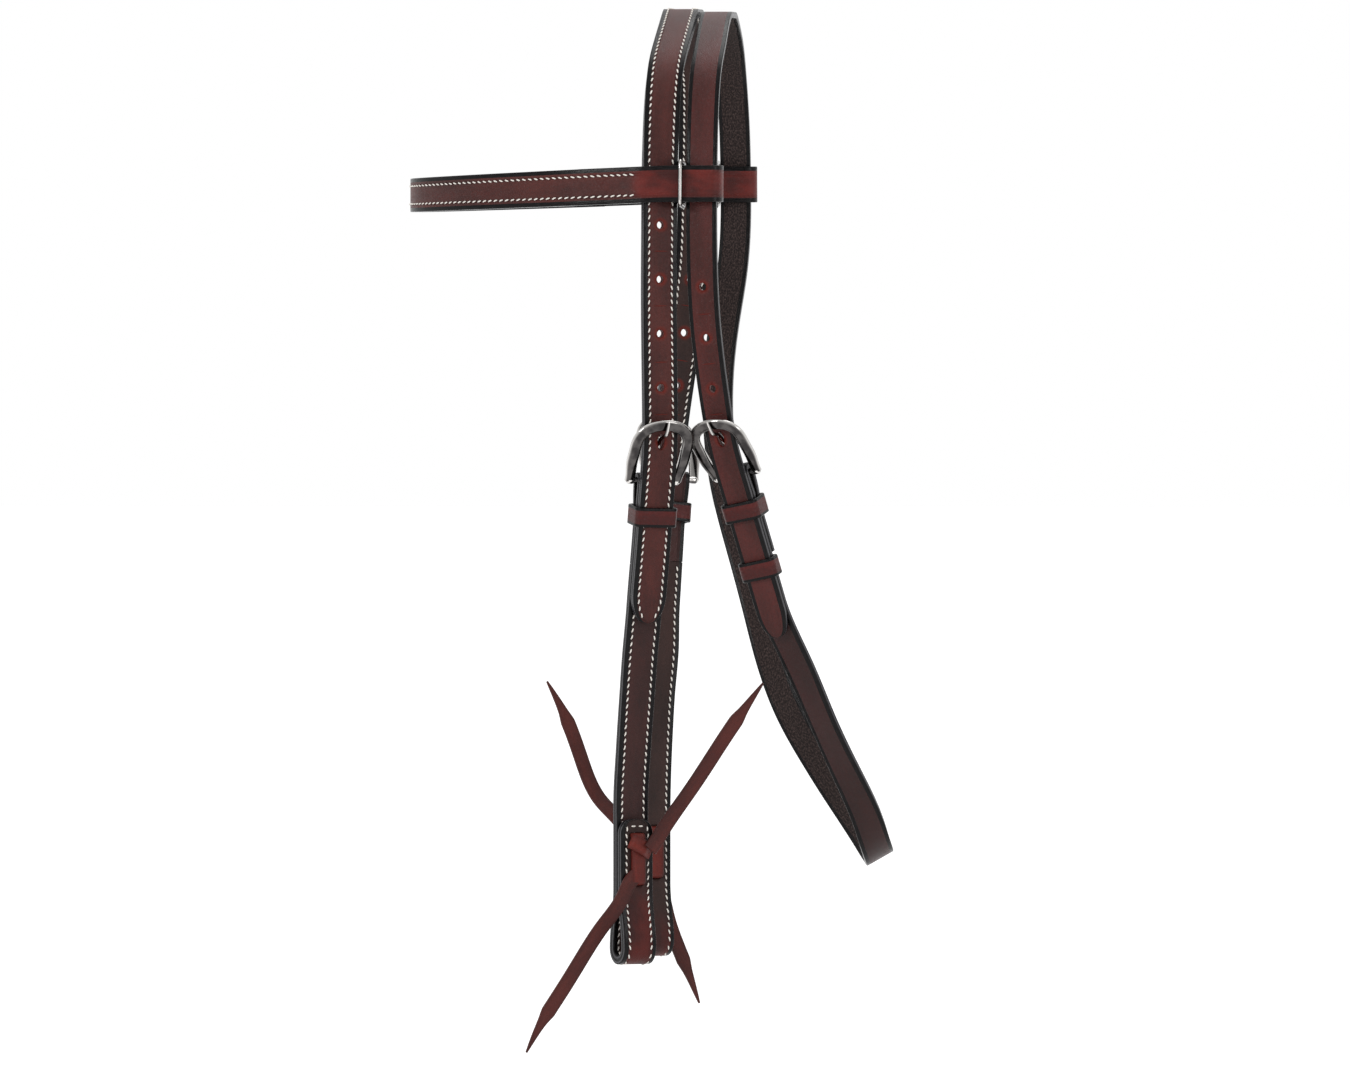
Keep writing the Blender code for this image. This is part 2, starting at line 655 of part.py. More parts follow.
def reach(route, side, width, low, high):
    """Box in X and outward Y that a side strap fills beside the browband."""
    run = bar_run(route, side, BROW_DROP_share)
    point, across, _, out = route.frame(run)
    corners = [point + across * (u * width / 2) + out * n for u in (-1, 1) for n in (low, high)]
    xs = [corner.x for corner in corners]
    ys = [abs(corner.y) for corner in corners]
    return min(xs), max(xs), min(ys), max(ys)


def loop_box(crown, throat, side):
    one = reach(crown, side, STRAP_WIDTH, -DOUBLED / 2, DOUBLED / 2)
    two = reach(throat, side, THROAT_WIDTH, -THROAT_THICK / 2, THROAT_THICK / 2)
    inner = min(one[2], two[2]) - LOOP_SLACK - BROW_LAYER / 2
    outer = max(one[3], two[3]) + LOOP_SLACK + BROW_LAYER / 2
    return one[0], two[1] + LOOP_SLACK + BROW_LAYER / 2, inner, outer, (one[1] + two[0]) / 2


def brow_half(box, side):
    """Plan of one half of the browband, from its sewn tab round the straps to the middle."""
    left, right, inner, outer, _ = box
    front = [(left, outer)]
    front += [(x * BROW_SETBACK, y * HEAD_HALF_WIDTH) for x, y in BROW_shares]
    mirrored = [(x, -y) for x, y in front[-2:-5:-1]]
    plan = [(right - 2 * BROW_WIDTH, outer)] + front + mirrored
    at, _ = spline([(x, y, 0.0) for x, y in plan])
    knots = np.concatenate([[0.0], np.cumsum([math.dist(a, b) for a, b in zip(plan, plan[1:])])])
    last = knots[1 + len(front) - 1]
    swept = at(np.linspace(knots[1], last, 26))[:, :2]
    tangent = unit(np.gradient(swept, axis=0))
    behind = swept + np.stack([-tangent[:, 1], tangent[:, 0]], axis=1) * (BROW_LAYER + GAP)
    tab = behind[3:6][::-1]
    corner = BROW_LAYER * 2.2
    turns = [(left - corner * 1.6, inner + corner * 0.80), (left - corner * 0.6, inner + corner * 0.12),
             (left + corner * 0.5, inner)]
    straight = np.linspace(left + corner * 2.4, right - corner * 1.4, 4)
    run = [(x, inner) for x in straight]
    arcs = []
    for i in range(7):
        angle = math.pi * (i / 6 - 0.5)
        arcs.append((right - corner + corner * math.cos(angle),
                     (inner + outer) / 2 + ((outer - inner) / 2) * math.sin(angle)))
    back = [(x, outer) for x in straight[::-1]]
    return [(x, side * y) for x, y in list(map(tuple, tab)) + turns + run + arcs + back], \
        [(x, side * y) for x, y in map(tuple, swept)]


def brow_height(x):
    """The browband dips a little from the loops towards the middle of the brow."""
    forward = max(-x, 0.0) / BROW_SETBACK
    return -(BROW_DROP_share + BROW_DIP_share * forward) * HEAD_LENGTH


def brow_route(boxes):
    """The browband face's middle line, seen from above, near tab to far tab."""
    near_loop, near_front = brow_half(boxes[-1], -1)
    far_loop, far_front = brow_half(boxes[1], 1)
    plan = near_loop + near_front[:-1] + far_front[::-1] + far_loop[::-1]
    at, length = spline([(x, y, brow_height(x)) for x, y in plan])
    points = at(stations(at, length, math.radians(18.0)))
    lean = points[:, 1] / HEAD_HALF_WIDTH * math.sin(BROW_LEAN)
    down = np.stack([np.zeros_like(lean), lean, -np.ones_like(lean)], axis=1)
    route = Route(points, down)
    knots = np.concatenate([[0.0], np.cumsum([math.dist(a, b) for a, b in zip(plan, plan[1:])])])
    return route, knots[2], knots[-3]


def run_beside(route, place, first, last):
    """Distance along a route, between two others, at which it passes nearest a place."""
    runs = np.linspace(first, last, 400)
    line = np.stack([np.interp(runs, route.run, route.points[:, k]) for k in range(3)], axis=1)
    return float(runs[np.linalg.norm(line - place, axis=1).argmin()])


def browband(boxes, parts, finishes):
    route, near_tab, far_tab = brow_route(boxes)
    middle = route.run[-1] / 2

    def width(run):
        share = min(abs(run - middle) / middle, 1.0)
        return BROW_MIDDLE_WIDTH + (BROW_WIDTH - BROW_MIDDLE_WIDTH) * min(2.0 * share, 1.0)

    face = strap("browband_face", route, -BROW_LAYER / 2, BROW_LAYER / 2, width, parts,
                 finishes["loop"])
    start = run_beside(route, route.points[0], near_tab + BROW_WIDTH, middle)
    stop = run_beside(route, route.points[-1], middle, far_tab - BROW_WIDTH)
    low = -BROW_LAYER * 1.5 - GAP
    lining = strap("browband_lining", route, low, low + BROW_LAYER, width, parts,
                   finishes["leather"], start + GAP * 4, stop - GAP * 4,
                   lined=True)
    return face, lining


def divider(name, box, side, parts, finish):
    """Closed wire round the front and back of a browband loop, between the two straps."""
    _, _, inner, outer, x = box
    half_y = (outer - inner) / 2 + BROW_LAYER / 2 + 4 * GAP + DIVIDER_WIRE / 2
    half_z = BROW_WIDTH / 2 + 2 * GAP + DIVIDER_WIRE / 2
    loop = rounded_loop(half_z, half_y, DIVIDER_WIRE)
    ring = poly_curve(name, [[(u, v, 0.0) for u, v in loop]], DIVIDER_WIRE, flat=False)
    lean = side * BROW_LEAN
    down = Vector((0.0, math.sin(lean), -math.cos(lean)))
    along = Vector((1.0, 0.0, 0.0))
    centre = Vector((x, side * (inner + outer) / 2, -BROW_DROP_share * HEAD_LENGTH))
    return as_mesh(ring, name, to_world(centre, down, along.cross(down), along), parts, finish)


NEAR_TAIL_shares = {
    "up": ((0.10, 0.01, 0.13), (0.24, 0.03, 0.33), (0.38, 0.05, 0.55), (0.53, 0.08, 0.79),
           (0.59, 0.09, 0.89)),
    "down": ((-0.10, 0.07, -0.10), (-0.22, 0.12, -0.27), (-0.36, 0.15, -0.48),
             (-0.49, 0.16, -0.68), (-0.58, 0.16, -0.83))}
FAR_TAIL_shares = {
    "up": ((-0.10, 0.01, 0.13), (-0.24, 0.03, 0.33), (-0.37, 0.05, 0.56), (-0.48, 0.07, 0.76),
           (-0.53, 0.08, 0.88)),
    "down": ((0.06, 0.05, -0.10), (0.13, 0.075, -0.30), (0.20, 0.085, -0.53),
             (0.26, 0.095, -0.70), (0.30, 0.10, -0.80))}


def bit_frame(side):
    """Flap's width, outward and up directions, with the base point under its middle."""
    setback, half = BIT_PLACE_shares[side]
    base = Vector((setback * HEAD_LENGTH, side * half * HEAD_HALF_WIDTH, 0.0))
    twist = BIT_TWISTS[side]
    across = Vector((math.cos(twist), side * math.sin(twist), 0.0))
    outward = Vector((-math.sin(twist), side * math.cos(twist), 0.0))
    return base, across, outward


def slot_heights():
    upper = -HEAD_LENGTH + FLAP_LENGTH - SLOT_DROP
    return upper, upper - SLOT_SPACING


def lace(side_name, side, parts, finish):
    """The wrap through both slots, and the two loose tails."""
    base, across, outward = bit_frame(side)
    up = Vector((0.0, 0.0, 1.0))
    upper, lower = slot_heights()
    front = DOUBLED / 2 + DOUBLED + GAP
    back = -DOUBLED / 2
    half_n = (front - back) / 2 + GAP
    half_z = SLOT_SPACING / 2 - LACE_THICK / 2
    loops = [rounded_loop(half_z + LACE_THICK, half_n + LACE_THICK, LACE_THICK * 1.1),
             rounded_loop(half_z, half_n, LACE_THICK * 0.3)]
    ring = poly_curve("ring", loops, LACE_WIDTH)
    centre = base + outward * ((front + back) / 2) + up * ((upper + lower) / 2)
    made = [as_mesh(ring, side_name + "_bit_lace_wrap",
                    to_world(centre, up, outward, up.cross(outward)), parts, finish)]
    lie = front + GAP + LACE_THICK / 2
    over = lie + LACE_THICK + GAP
    flip = -side
    tails = NEAR_TAIL_shares if side < 0 else FAR_TAIL_shares
    half = LACE_WIDTH / 2
    starts = {
        "up": [(-0.8 * half, over, -2.1 * half), (0.0, over, -1.2 * half),
               (0.9 * half, over + GAP, -0.1 * half)],
        "down": [(-0.6 * half, lie + 2 * GAP, -1.45 * half),
                 (-2.4 * half, lie + 2 * GAP, -1.95 * half)]}
    heights = {"up": upper, "down": lower}
    lengths = {"up": LACE_TAIL_UP, "down": LACE_TAIL_DOWN}
    for way in ("up", "down"):
        places = [base + across * (flip * u) + outward * n + up * (heights[way] + z)
                  for u, n, z in starts[way]]
        first = places[-1]
        for dx, dout, dz in tails[way]:
            shift = Vector((dx, side * dout, dz)) * lengths[way]
            places.append(first + shift)
        at, length = spline([tuple(p) for p in places])
        points = at(stations(at, length, math.radians(16.0)))
        tangent = unit(np.gradient(points, axis=0))
        flat = np.cross(np.tile(np.array(outward), (len(points), 1)), tangent)
        route = Route(points, flat)
        width = point_width(LACE_WIDTH, 2.6 * LACE_WIDTH, route.run[-1], 0.12)
        made.append(strap(side_name + "_bit_lace_tail_" + way, route, -LACE_THICK / 2,
                          LACE_THICK / 2, width, parts, finish))
    return made


def lace_slots(side, body, cutters):
    base, across, outward = bit_frame(side)
    for height in slot_heights():
        place = to_world(base + Vector((0.0, 0.0, height)), across, outward,
                         across.cross(outward))
        size = (LACE_WIDTH + 2 * SLOT_SLACK, 2 * (BIT_BORE + DOUBLED), LACE_THICK + 2 * SLOT_SLACK)
        cut(body, block(body.name + "_slot_cutter", place, size), cutters)


def holes(bodies, route, start, sign, tongue_width, hole, pitch, count, cutters):
    """The oval tongue hole at the buckle, and a row of round spare holes above it."""
    depth = 4 * DOUBLED
    for index in range(count + 1):
        rise = HOLE_RISE + index * pitch
        point, across, tangent, out = route.frame(start - sign * rise)
        place = to_world(point, across, tangent, out)
        length = HOLE_LENGTH if index == 0 else hole
        width = tongue_width if index == 0 else hole
        for body in bodies:
            cut(body, punch(body.name + "_punch", place, width, length, depth), cutters)


def main():
    clear_scene()
    parts = new_collection("western_headstall")
    cutters = new_collection("cutters")
    finishes = {
        "leather": leather("chestnut leather", (0.085, 0.030, 0.024), 0.42),
        "loop": leather("red loop leather", (0.150, 0.035, 0.026), 0.38),
        "latigo": leather("latigo lace", (0.140, 0.045, 0.036), 0.50),
        "steel": material("polished steel", (0.55, 0.55, 0.56), 0.16, 1.0)}

    crown = crown_route()
    ends = both_points(STRAP_WIDTH, TIP_LENGTH, 0.0, crown.run[-1])
    strap_face = strap("crown_strap", crown, GAP / 2, GAP / 2 + LAYER, ends, parts,
                       finishes["leather"])
    strap_lining = strap("crown_lining", crown, -GAP / 2 - LAYER, -GAP / 2, ends, parts,
                         finishes["leather"], lined=True)

    for side, side_name in ((-1, "near"), (1, "far")):
        start = bar_run(crown, side, BAR_HEIGHT_share)
        holes([strap_face, strap_lining], crown, start, -side, HOLE_WIDTH, HOLE_WIDTH,
              HOLE_PITCH, 4, cutters)
        cheek = cheek_route(crown, side)
        rest = (GAP + LAYER) / 2
        face_line = wrapped(cheek, rest, rest, LAYER, TURN_BACK)
        flap_end = cheek.run[-1]
        round_end = point_width(STRAP_WIDTH, STRAP_WIDTH * 0.42, flap_end, 0.30)
        face_end = point_width(STRAP_WIDTH, STRAP_WIDTH * 0.42, face_line.run[-1], 0.30)
        face = strap(side_name + "_cheek_strap", face_line, -LAYER / 2, LAYER / 2, face_end,
                     parts, finishes["leather"])
        lining = strap(side_name + "_cheek_lining", cheek, -GAP / 2 - LAYER, -GAP / 2, round_end,
                       parts, finishes["leather"], TURN_BACK + GAP, lined=True)
        place, lean = buckle_place(cheek, crown, start, side)
        buckle(side_name + "_cheek", STRAP_WIDTH, BILLET_OFFSET, DOUBLED, place, lean,
               (parts, cutters), finishes)
        tongue_slot(face, place, LAYER, cutters)
        lace_slots(side, face, cutters)
        lace_slots(side, lining, cutters)
        lace(side_name, side, parts, finishes["latigo"])
        highest = KEEPER_DROP - KEEPER_HEIGHT / 2 - KEEPER_SLACK
        behind = spread(highest, DOUBLED + GAP, BILLET_OFFSET) + fold_half(highest, rest, LAYER)
        keeper(side_name + "_cheek_keeper", crown, start - side * KEEPER_DROP, -behind, DOUBLED / 2,
               STRAP_WIDTH, parts, finishes["loop"])

    throat_routes(parts, cutters, finishes, crown)


def throat_routes(parts, cutters, finishes, crown):
    """The throatlatch strap, its buckle and keepers, then the browband round both straps."""
    billet_rows = side_rows(THROAT_BILLET_shares, -1, THROAT_BAR_share, THROAT_TAIL, THROAT_BESIDE)
    seat = [(THROAT_BESIDE, side * POLL_SEAT / 2, THROAT_THICK / 2, 0.0) for side in (1, -1)]
    billet = route_through(seat[1:] + [(x, y, z, -t) for x, y, z, t in billet_rows])
    start = bar_run(billet, -1, THROAT_BAR_share)
    rows = []
    for drop in np.arange(0.0, THROAT_TAIL - STEP / 2, STEP / 2):
        point, across, tangent, out = billet.frame(start + drop)
        resting = THROAT_THICK + GAP
        offset = resting + (THROAT_OFFSET - resting) * float(blend(drop, FOLD_RUN))
        place = point - out * offset
        rows.append((*place, math.atan2(across.y, across.x)))
    for side, setback, half, height, twist in THROAT_LOWER_shares:
        rows.append((THROAT_BESIDE + setback * HEAD_LENGTH, side * half * HEAD_HALF_WIDTH,
                     -height * HEAD_LENGTH, side * math.radians(twist)))
    rows += seat + [(x, y, z, -t) for x, y, z, t in billet_rows]
    line = route_through(rows, flat_seat=True)
    resting = THROAT_THICK + GAP
    strap_line = wrapped(line, 0.0, resting, THROAT_THICK, TURN_BACK)
    tip = strap_line.run[-1]
    body = strap("throatlatch_strap", strap_line, -THROAT_THICK / 2, THROAT_THICK / 2,
                 point_width(THROAT_WIDTH, TIP_LENGTH, tip), parts, finishes["leather"])
    place, lean = buckle_place(line, billet, start, -1)
    buckle("throat", THROAT_WIDTH, THROAT_OFFSET, THROAT_THICK, place, lean, (parts, cutters),
           finishes)
    tongue_slot(body, place, THROAT_THICK, cutters)
    beside_bar = line.run[-1] - (billet.run[-1] - start)
    holes([body], line, beside_bar, 1, HOLE_WIDTH, HOLE_WIDTH, THROAT_HOLE_PITCH, 3, cutters)
    for index in range(2):
        drop = KEEPER_DROP + index * KEEPER_PITCH
        highest = drop - KEEPER_HEIGHT / 2 - KEEPER_SLACK
        behind = spread(highest, resting, THROAT_OFFSET) + THROAT_THICK / 2
        if index == 0:
            behind += resting
        keeper("throat_keeper_" + "ab"[index], billet, start + drop, -behind, THROAT_THICK / 2,
               THROAT_WIDTH, parts, finishes["loop"])
    boxes = {side: loop_box(crown, line_side(line, side), side) for side in (-1, 1)}
    browband(boxes, parts, finishes)
    for side, side_name in ((-1, "near"), (1, "far")):
        divider(side_name + "_loop_divider", boxes[side], side, parts, finishes["steel"])


def line_side(line, side):
    """The throatlatch's upper half on one side, from the poll seat down or up to it."""
    upper = line.points[:, 2] > -2.0 * BROW_DROP_share * HEAD_LENGTH
    chosen = upper & (line.points[:, 1] * side > 0)
    order = np.flatnonzero(chosen)
    if side < 0:
        order = order[order > len(line.points) // 2]
    return Route(line.points[order], line.across[order])


main()
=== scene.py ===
# %% [markdown]
# # A western headstall, dressed for the render
#
# A headstall is the part of a bridle that goes over a horse's head. This one is doubled and
# stitched chestnut leather: a crown strap over the poll, two cheeks that end in laced bit
# loops, a browband with folded loops, a single-leather throatlatch, three horseshoe buckles
# and four keepers. The rigid model fixes the places and sizes, and the cells below lay finer
# leather, thread and steel over its solids. To follow the photograph, the far lace tail that
# hangs down leaves its solid by up to 19 mm, the other tails by up to 10 mm, the throatlatch
# by up to 8 mm and the buckle frames by about 2 mm.

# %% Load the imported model
import math

import bmesh
import bpy
import numpy as np
from mathutils import Matrix, Vector


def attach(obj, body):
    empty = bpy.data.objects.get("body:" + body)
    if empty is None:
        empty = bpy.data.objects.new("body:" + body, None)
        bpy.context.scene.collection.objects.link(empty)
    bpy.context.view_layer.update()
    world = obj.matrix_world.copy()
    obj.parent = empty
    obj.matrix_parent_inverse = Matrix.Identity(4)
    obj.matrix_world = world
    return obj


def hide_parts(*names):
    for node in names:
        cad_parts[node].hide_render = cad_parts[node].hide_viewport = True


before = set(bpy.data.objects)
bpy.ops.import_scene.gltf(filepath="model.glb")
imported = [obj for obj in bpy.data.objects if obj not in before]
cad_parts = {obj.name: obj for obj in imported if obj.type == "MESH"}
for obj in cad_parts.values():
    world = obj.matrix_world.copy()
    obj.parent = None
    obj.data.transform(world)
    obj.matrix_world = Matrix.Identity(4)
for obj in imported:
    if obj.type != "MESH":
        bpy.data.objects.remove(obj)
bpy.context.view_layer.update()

# %% [markdown]
# ## Camera
#
# The photograph looks at the near side, turned five degrees, from far off: the near and
# the far bit loops are drawn the same size. So the camera stands 12 m away, almost level,
# with a very long lens. Similar triangles give that lens from the width of the view.

# %% Camera and view
CAMERA_TURN = math.radians(5.0)
CAMERA_RISE = math.radians(0.8)
CAMERA_DISTANCE = 12.0
VIEW_WIDTH = 1.350 / 1.8545
TARGET = Vector((-0.0045, 0.0, -0.2813))
eye = bpy.data.cameras.new("camera")
eye.sensor_fit = "HORIZONTAL"
eye.sensor_width = 36.0
eye.lens = eye.sensor_width * CAMERA_DISTANCE / VIEW_WIDTH
camera = bpy.data.objects.new("camera", eye)
back = Vector((math.sin(CAMERA_TURN) * math.cos(CAMERA_RISE),
               -math.cos(CAMERA_TURN) * math.cos(CAMERA_RISE), math.sin(CAMERA_RISE)))
camera.location = TARGET + back * CAMERA_DISTANCE
camera.rotation_euler = (math.radians(90.0) - CAMERA_RISE, 0.0, CAMERA_TURN)
scene = bpy.context.scene
scene.collection.objects.link(camera)
scene.camera = camera
scene.view_settings.view_transform = "Standard"

# %% [markdown]
# ## Node helpers
#
# A material is a small graph. One function adds a node with its settings and links, and one
# turns an sRGB hex colour, as a colour picker shows it, into the linear numbers that
# Blender computes with.

# %% Node helpers
def linear(code, alpha=1.0):
    """sRGB hex to linear: (c / 12.92) below 0.04045, else ((c + 0.055) / 1.055) ^ 2.4."""
    values = np.array([int(code[i:i + 2], 16) / 255 for i in (1, 3, 5)])
    low = values / 12.92
    high = ((values + 0.055) / 1.055) ** 2.4
    return (*np.where(values <= 0.04045, low, high), alpha)


def fill(tree, node, inputs):
    """Sets or links a node's inputs by name or number; a hex colour is turned to linear."""
    for key, value in inputs.items():
        if isinstance(value, bpy.types.NodeSocket):
            tree.links.new(value, node.inputs[key])
        else:
            node.inputs[key].default_value = linear(value) if isinstance(value, str) else value


def add(tree, kind, *values, out=0, **named):
    """Adds a node and gives one of its outputs. The values fill its first inputs. A name in
    small letters is a property, one with a capital an input, and _6 is input number 6."""
    node = tree.nodes.new("ShaderNode" + kind)
    inputs = dict(enumerate(values))
    for key, value in named.items():
        if key[0].islower():
            setattr(node, key, value)
        else:
            inputs[int(key[1:]) if key[0] == "_" else key] = value
    fill(tree, node, inputs)
    return node.outputs[out]


def new_material(name):
    made = bpy.data.materials.new(name)
    made.use_nodes = True
    tree = made.node_tree
    return made, tree, tree.nodes["Principled BSDF"]

# %% [markdown]
# ## Sizes
#
# The named sizes are those of the rigid model, so the crown strap, the cheeks and the
# browband fall on their solids.

# %% Sizes in metres
HEAD_LENGTH = 0.508
HEAD_HALF_WIDTH = 0.100
BROW_SETBACK = 0.1465
GAP = 0.0003
STRAP_WIDTH = 0.0190
LAYER = 0.00225
THROAT_WIDTH = 0.0165
THROAT_THICK = 0.0034
THROAT_BESIDE = (STRAP_WIDTH + THROAT_WIDTH) / 2 + 0.001675
BROW_WIDTH = 0.0195
BROW_MIDDLE_WIDTH = 0.0180
BROW_LAYER = 0.0021
WIRE = 0.0034
FRAME_RISE = 0.0350
FRAME_TILT = math.radians(26.5)
HOLE_RISE = 0.0220
HOLE_PITCH = 0.0290
THROAT_HOLE_PITCH = 0.0275
BILLET_TAIL = 0.0751
THROAT_TAIL = 0.0853
TIP_LENGTH = 0.0160
TURN_BACK = 0.045
FOLD_RUN = 0.026
KEEPER_HEIGHT = 0.0105
KEEPER_DROP = 0.0185
KEEPER_PITCH = 0.0330
BIT_BORE = 0.0085
FLAP_LENGTH = 0.078
FLAP_CONTACT = 0.038
LACE_WIDTH = 0.0082
LACE_THICK = 0.0022
SLOT_SPACING = 0.026
SLOT_DROP = 0.0085
POLL_SEAT = 0.030
DOUBLED = 2 * LAYER + GAP
BILLET_OFFSET = WIRE / 2 + GAP + LAYER + GAP + DOUBLED / 2
THROAT_OFFSET = WIRE / 2 + GAP + THROAT_THICK + GAP + THROAT_THICK / 2
STEP = 0.016
FINE = 0.0022
BEND_LIMIT = math.radians(4.0)
SIDES = ((-1, "near"), (1, "far"))
UP = np.array([0.0, 0.0, 1.0])

# %% [markdown]
# ## Routes
#
# A strap is a ribbon: a line in space with a width direction and an outward direction at
# each point. A natural cubic spline through a few chosen places gives the line, and cross
# products give the directions. A hanging simulation could find the curve too, but the
# photograph already shows it.

# %% Splines and routes
def run_along(points):
    """Distance along a line of points to each of them."""
    return np.concatenate([[0.0], np.cumsum(np.linalg.norm(np.diff(points, axis=0), axis=1))])


def spline(rows):
    """Natural cubic spline by chord length: second derivatives from the usual
    tridiagonal system, then the cubic between each two knots."""
    rows = np.asarray(rows, float)
    knots = run_along(rows[:, :3])
    chord = np.linalg.norm(np.diff(rows[:, :3], axis=0), axis=1)
    count = len(rows)
    system = np.diag(np.concatenate([[1.0], 2 * (chord[:-1] + chord[1:]), [1.0]]))
    inner = np.arange(1, count - 1)
    system[inner, inner - 1], system[inner, inner + 1] = chord[:-1], chord[1:]
    slope = np.diff(rows, axis=0) / chord[:, None]
    right = np.zeros((count, rows.shape[1]))
    right[1:-1] = 6 * np.diff(slope, axis=0)
    bend = np.linalg.solve(system, right)

    def at(s):
        s = np.clip(s, 0.0, knots[-1])
        i = np.clip(np.searchsorted(knots, s, side="right") - 1, 0, count - 2)
        h, left, gone = chord[i][:, None], (knots[i + 1] - s)[:, None], (s - knots[i])[:, None]
        return (bend[i] * left ** 3 / (6 * h) + bend[i + 1] * gone ** 3 / (6 * h)
                + (rows[i] / h - bend[i] * h / 6) * left
                + (rows[i + 1] / h - bend[i + 1] * h / 6) * gone)

    return at, knots[-1]


def unit(vectors):
    return vectors / np.linalg.norm(vectors, axis=-1, keepdims=True)


class Route:
    """A line with width (across), along (tangent) and outward directions at each station."""

    def __init__(self, points, across):
        self.points = np.asarray(points, float)
        self.tangent = unit(np.gradient(self.points, axis=0))
        across = np.asarray(across, float)
        along = (across * self.tangent).sum(axis=1, keepdims=True)
        self.across = unit(across - along * self.tangent)
        self.out = np.cross(self.tangent, self.across)
        self.run = run_along(self.points)

    def at(self, runs):
        """Points and the three directions at many distances, by linear interpolation."""
        runs = np.atleast_1d(runs)
        fields = [np.stack([np.interp(runs, self.run, f[:, k]) for k in range(3)], axis=1)
                  for f in (self.points, self.across, self.tangent, self.out)]
        return [fields[0]] + [unit(f) for f in fields[1:]]

    def at_one(self, run):
        """The point and the three directions at one distance."""
        return [field[0] for field in self.at(run)]


def stations(at, length, step, bend_limit):
    """Distances along a spline: one more for each step, and for each bend_limit turned."""
    fine = np.linspace(0.0, length, 1600)
    tangent = unit(np.gradient(at(fine)[:, :3], axis=0))
    turn = np.arccos(np.clip((tangent[1:] * tangent[:-1]).sum(axis=1), -1.0, 1.0))
    due = np.cumsum(np.diff(fine) / step + turn / bend_limit)
    count = max(int(math.ceil(due[-1])), 4)
    return np.interp(np.linspace(0.0, due[-1], count + 1), np.concatenate([[0.0], due]), fine)


def flat_across(twist):
    return np.stack([np.cos(twist), np.sin(twist), np.zeros_like(twist)], axis=1)


def route_through(rows, flat_seat=False):
    """Route through rows of (x, y, z, turn about the vertical)."""
    at, length = spline(rows)
    found = at(stations(at, length, FINE, BEND_LIMIT))
    if flat_seat:
        seat = (np.abs(found[:, 1]) < POLL_SEAT / 2) & (found[:, 2] > -POLL_SEAT)
        found[seat, 2] = [row[2] for row in rows if abs(row[1]) <= POLL_SEAT / 2 and row[2] > 0][0]
    return Route(found[:, :3], flat_across(found[:, 3]))


def blend(run, length):
    """Smooth fall from one to zero over a length: 1 - (3 s^2 - 2 s^3)."""
    share = np.clip(np.asarray(run) / length, 0.0, 1.0)
    return 1.0 - share * share * (3.0 - 2.0 * share)

# %% [markdown]
# ## Where the straps run
#
# Each table gives a few places on the head: how far back, how far to the side, how far down
# and how the strap is turned there, as shares of the head's length and half width.

# %% Places of the straps
BAR_HEIGHT_share = 0.4907
THROAT_BAR_share = 0.4862

# Side straps: rows of setback, half width, height (shares of the head's sizes) and twist.
NEAR_CROWN_shares = (
    (0.0000, 0.30, 0.0035, 0.0), (-0.0025, 0.55, 0.0270, -3.0), (-0.0060, 0.76, 0.0575, -9.0),
    (-0.0078, 0.91, 0.1120, -16.0), (-0.0083, 0.975, 0.1680, -21.0), (-0.0085, 0.995, 0.2210, -25.0),
    (-0.0088, 1.00, 0.2860, -26.0), (-0.0086, 0.99, 0.3430, -26.0), (-0.0082, 0.975, 0.4000, -26.0),
    (-0.0090, 0.955, 0.4590, -26.0), (-0.0122, 0.935, 0.5010, -26.0), (-0.0152, 0.914, 0.5370, -26.0),
    (-0.0177, 0.895, 0.5670, -26.0), (-0.0213, 0.870, 0.6060, -26.0), (-0.0245, 0.845, 0.6440, -26.0))
FAR_CROWN_shares = (
    (0.0000, 0.30, 0.0035, 0.0), (0.0000, 0.55, 0.0270, 0.0), (0.0005, 0.76, 0.0575, 0.0),
    (-0.0015, 0.91, 0.1120, 2.0), (-0.0035, 0.975, 0.1680, 5.0), (-0.0050, 0.995, 0.2130, 8.0),
    (-0.0078, 1.00, 0.2600, 13.0), (-0.0125, 0.99, 0.3000, 18.0), (-0.0185, 0.975, 0.3500, 22.0),
    (-0.0255, 0.960, 0.4000, 25.0), (-0.0315, 0.940, 0.4500, 26.0), (-0.0345, 0.925, 0.5010, 26.0),
    (-0.0362, 0.903, 0.5370, 26.0), (-0.0376, 0.885, 0.5670, 26.0), (-0.0395, 0.861, 0.6060, 26.0),
    (-0.0413, 0.838, 0.6440, 26.0))
NEAR_CHEEK_shares = (
    (-0.0326, 0.776, 0.6720, -27.0), (-0.0360, 0.744, 0.7120, -28.0), (-0.0392, 0.714, 0.7500, -30.0),
    (-0.0419, 0.689, 0.7850, -32.0), (-0.0441, 0.670, 0.8180, -33.0))
FAR_CHEEK_shares = (
    (-0.0370, 0.776, 0.6720, 26.5), (-0.0398, 0.744, 0.7120, 27.5), (-0.0416, 0.714, 0.7500, 29.0),
    (-0.0427, 0.689, 0.7850, 31.0), (-0.0433, 0.670, 0.8180, 32.5))
BIT_PLACE_shares = {-1: (-0.0445, 0.659), 1: (-0.0435, 0.659)}
BIT_TWISTS = {-1: math.radians(-33.0), 1: math.radians(33.0)}

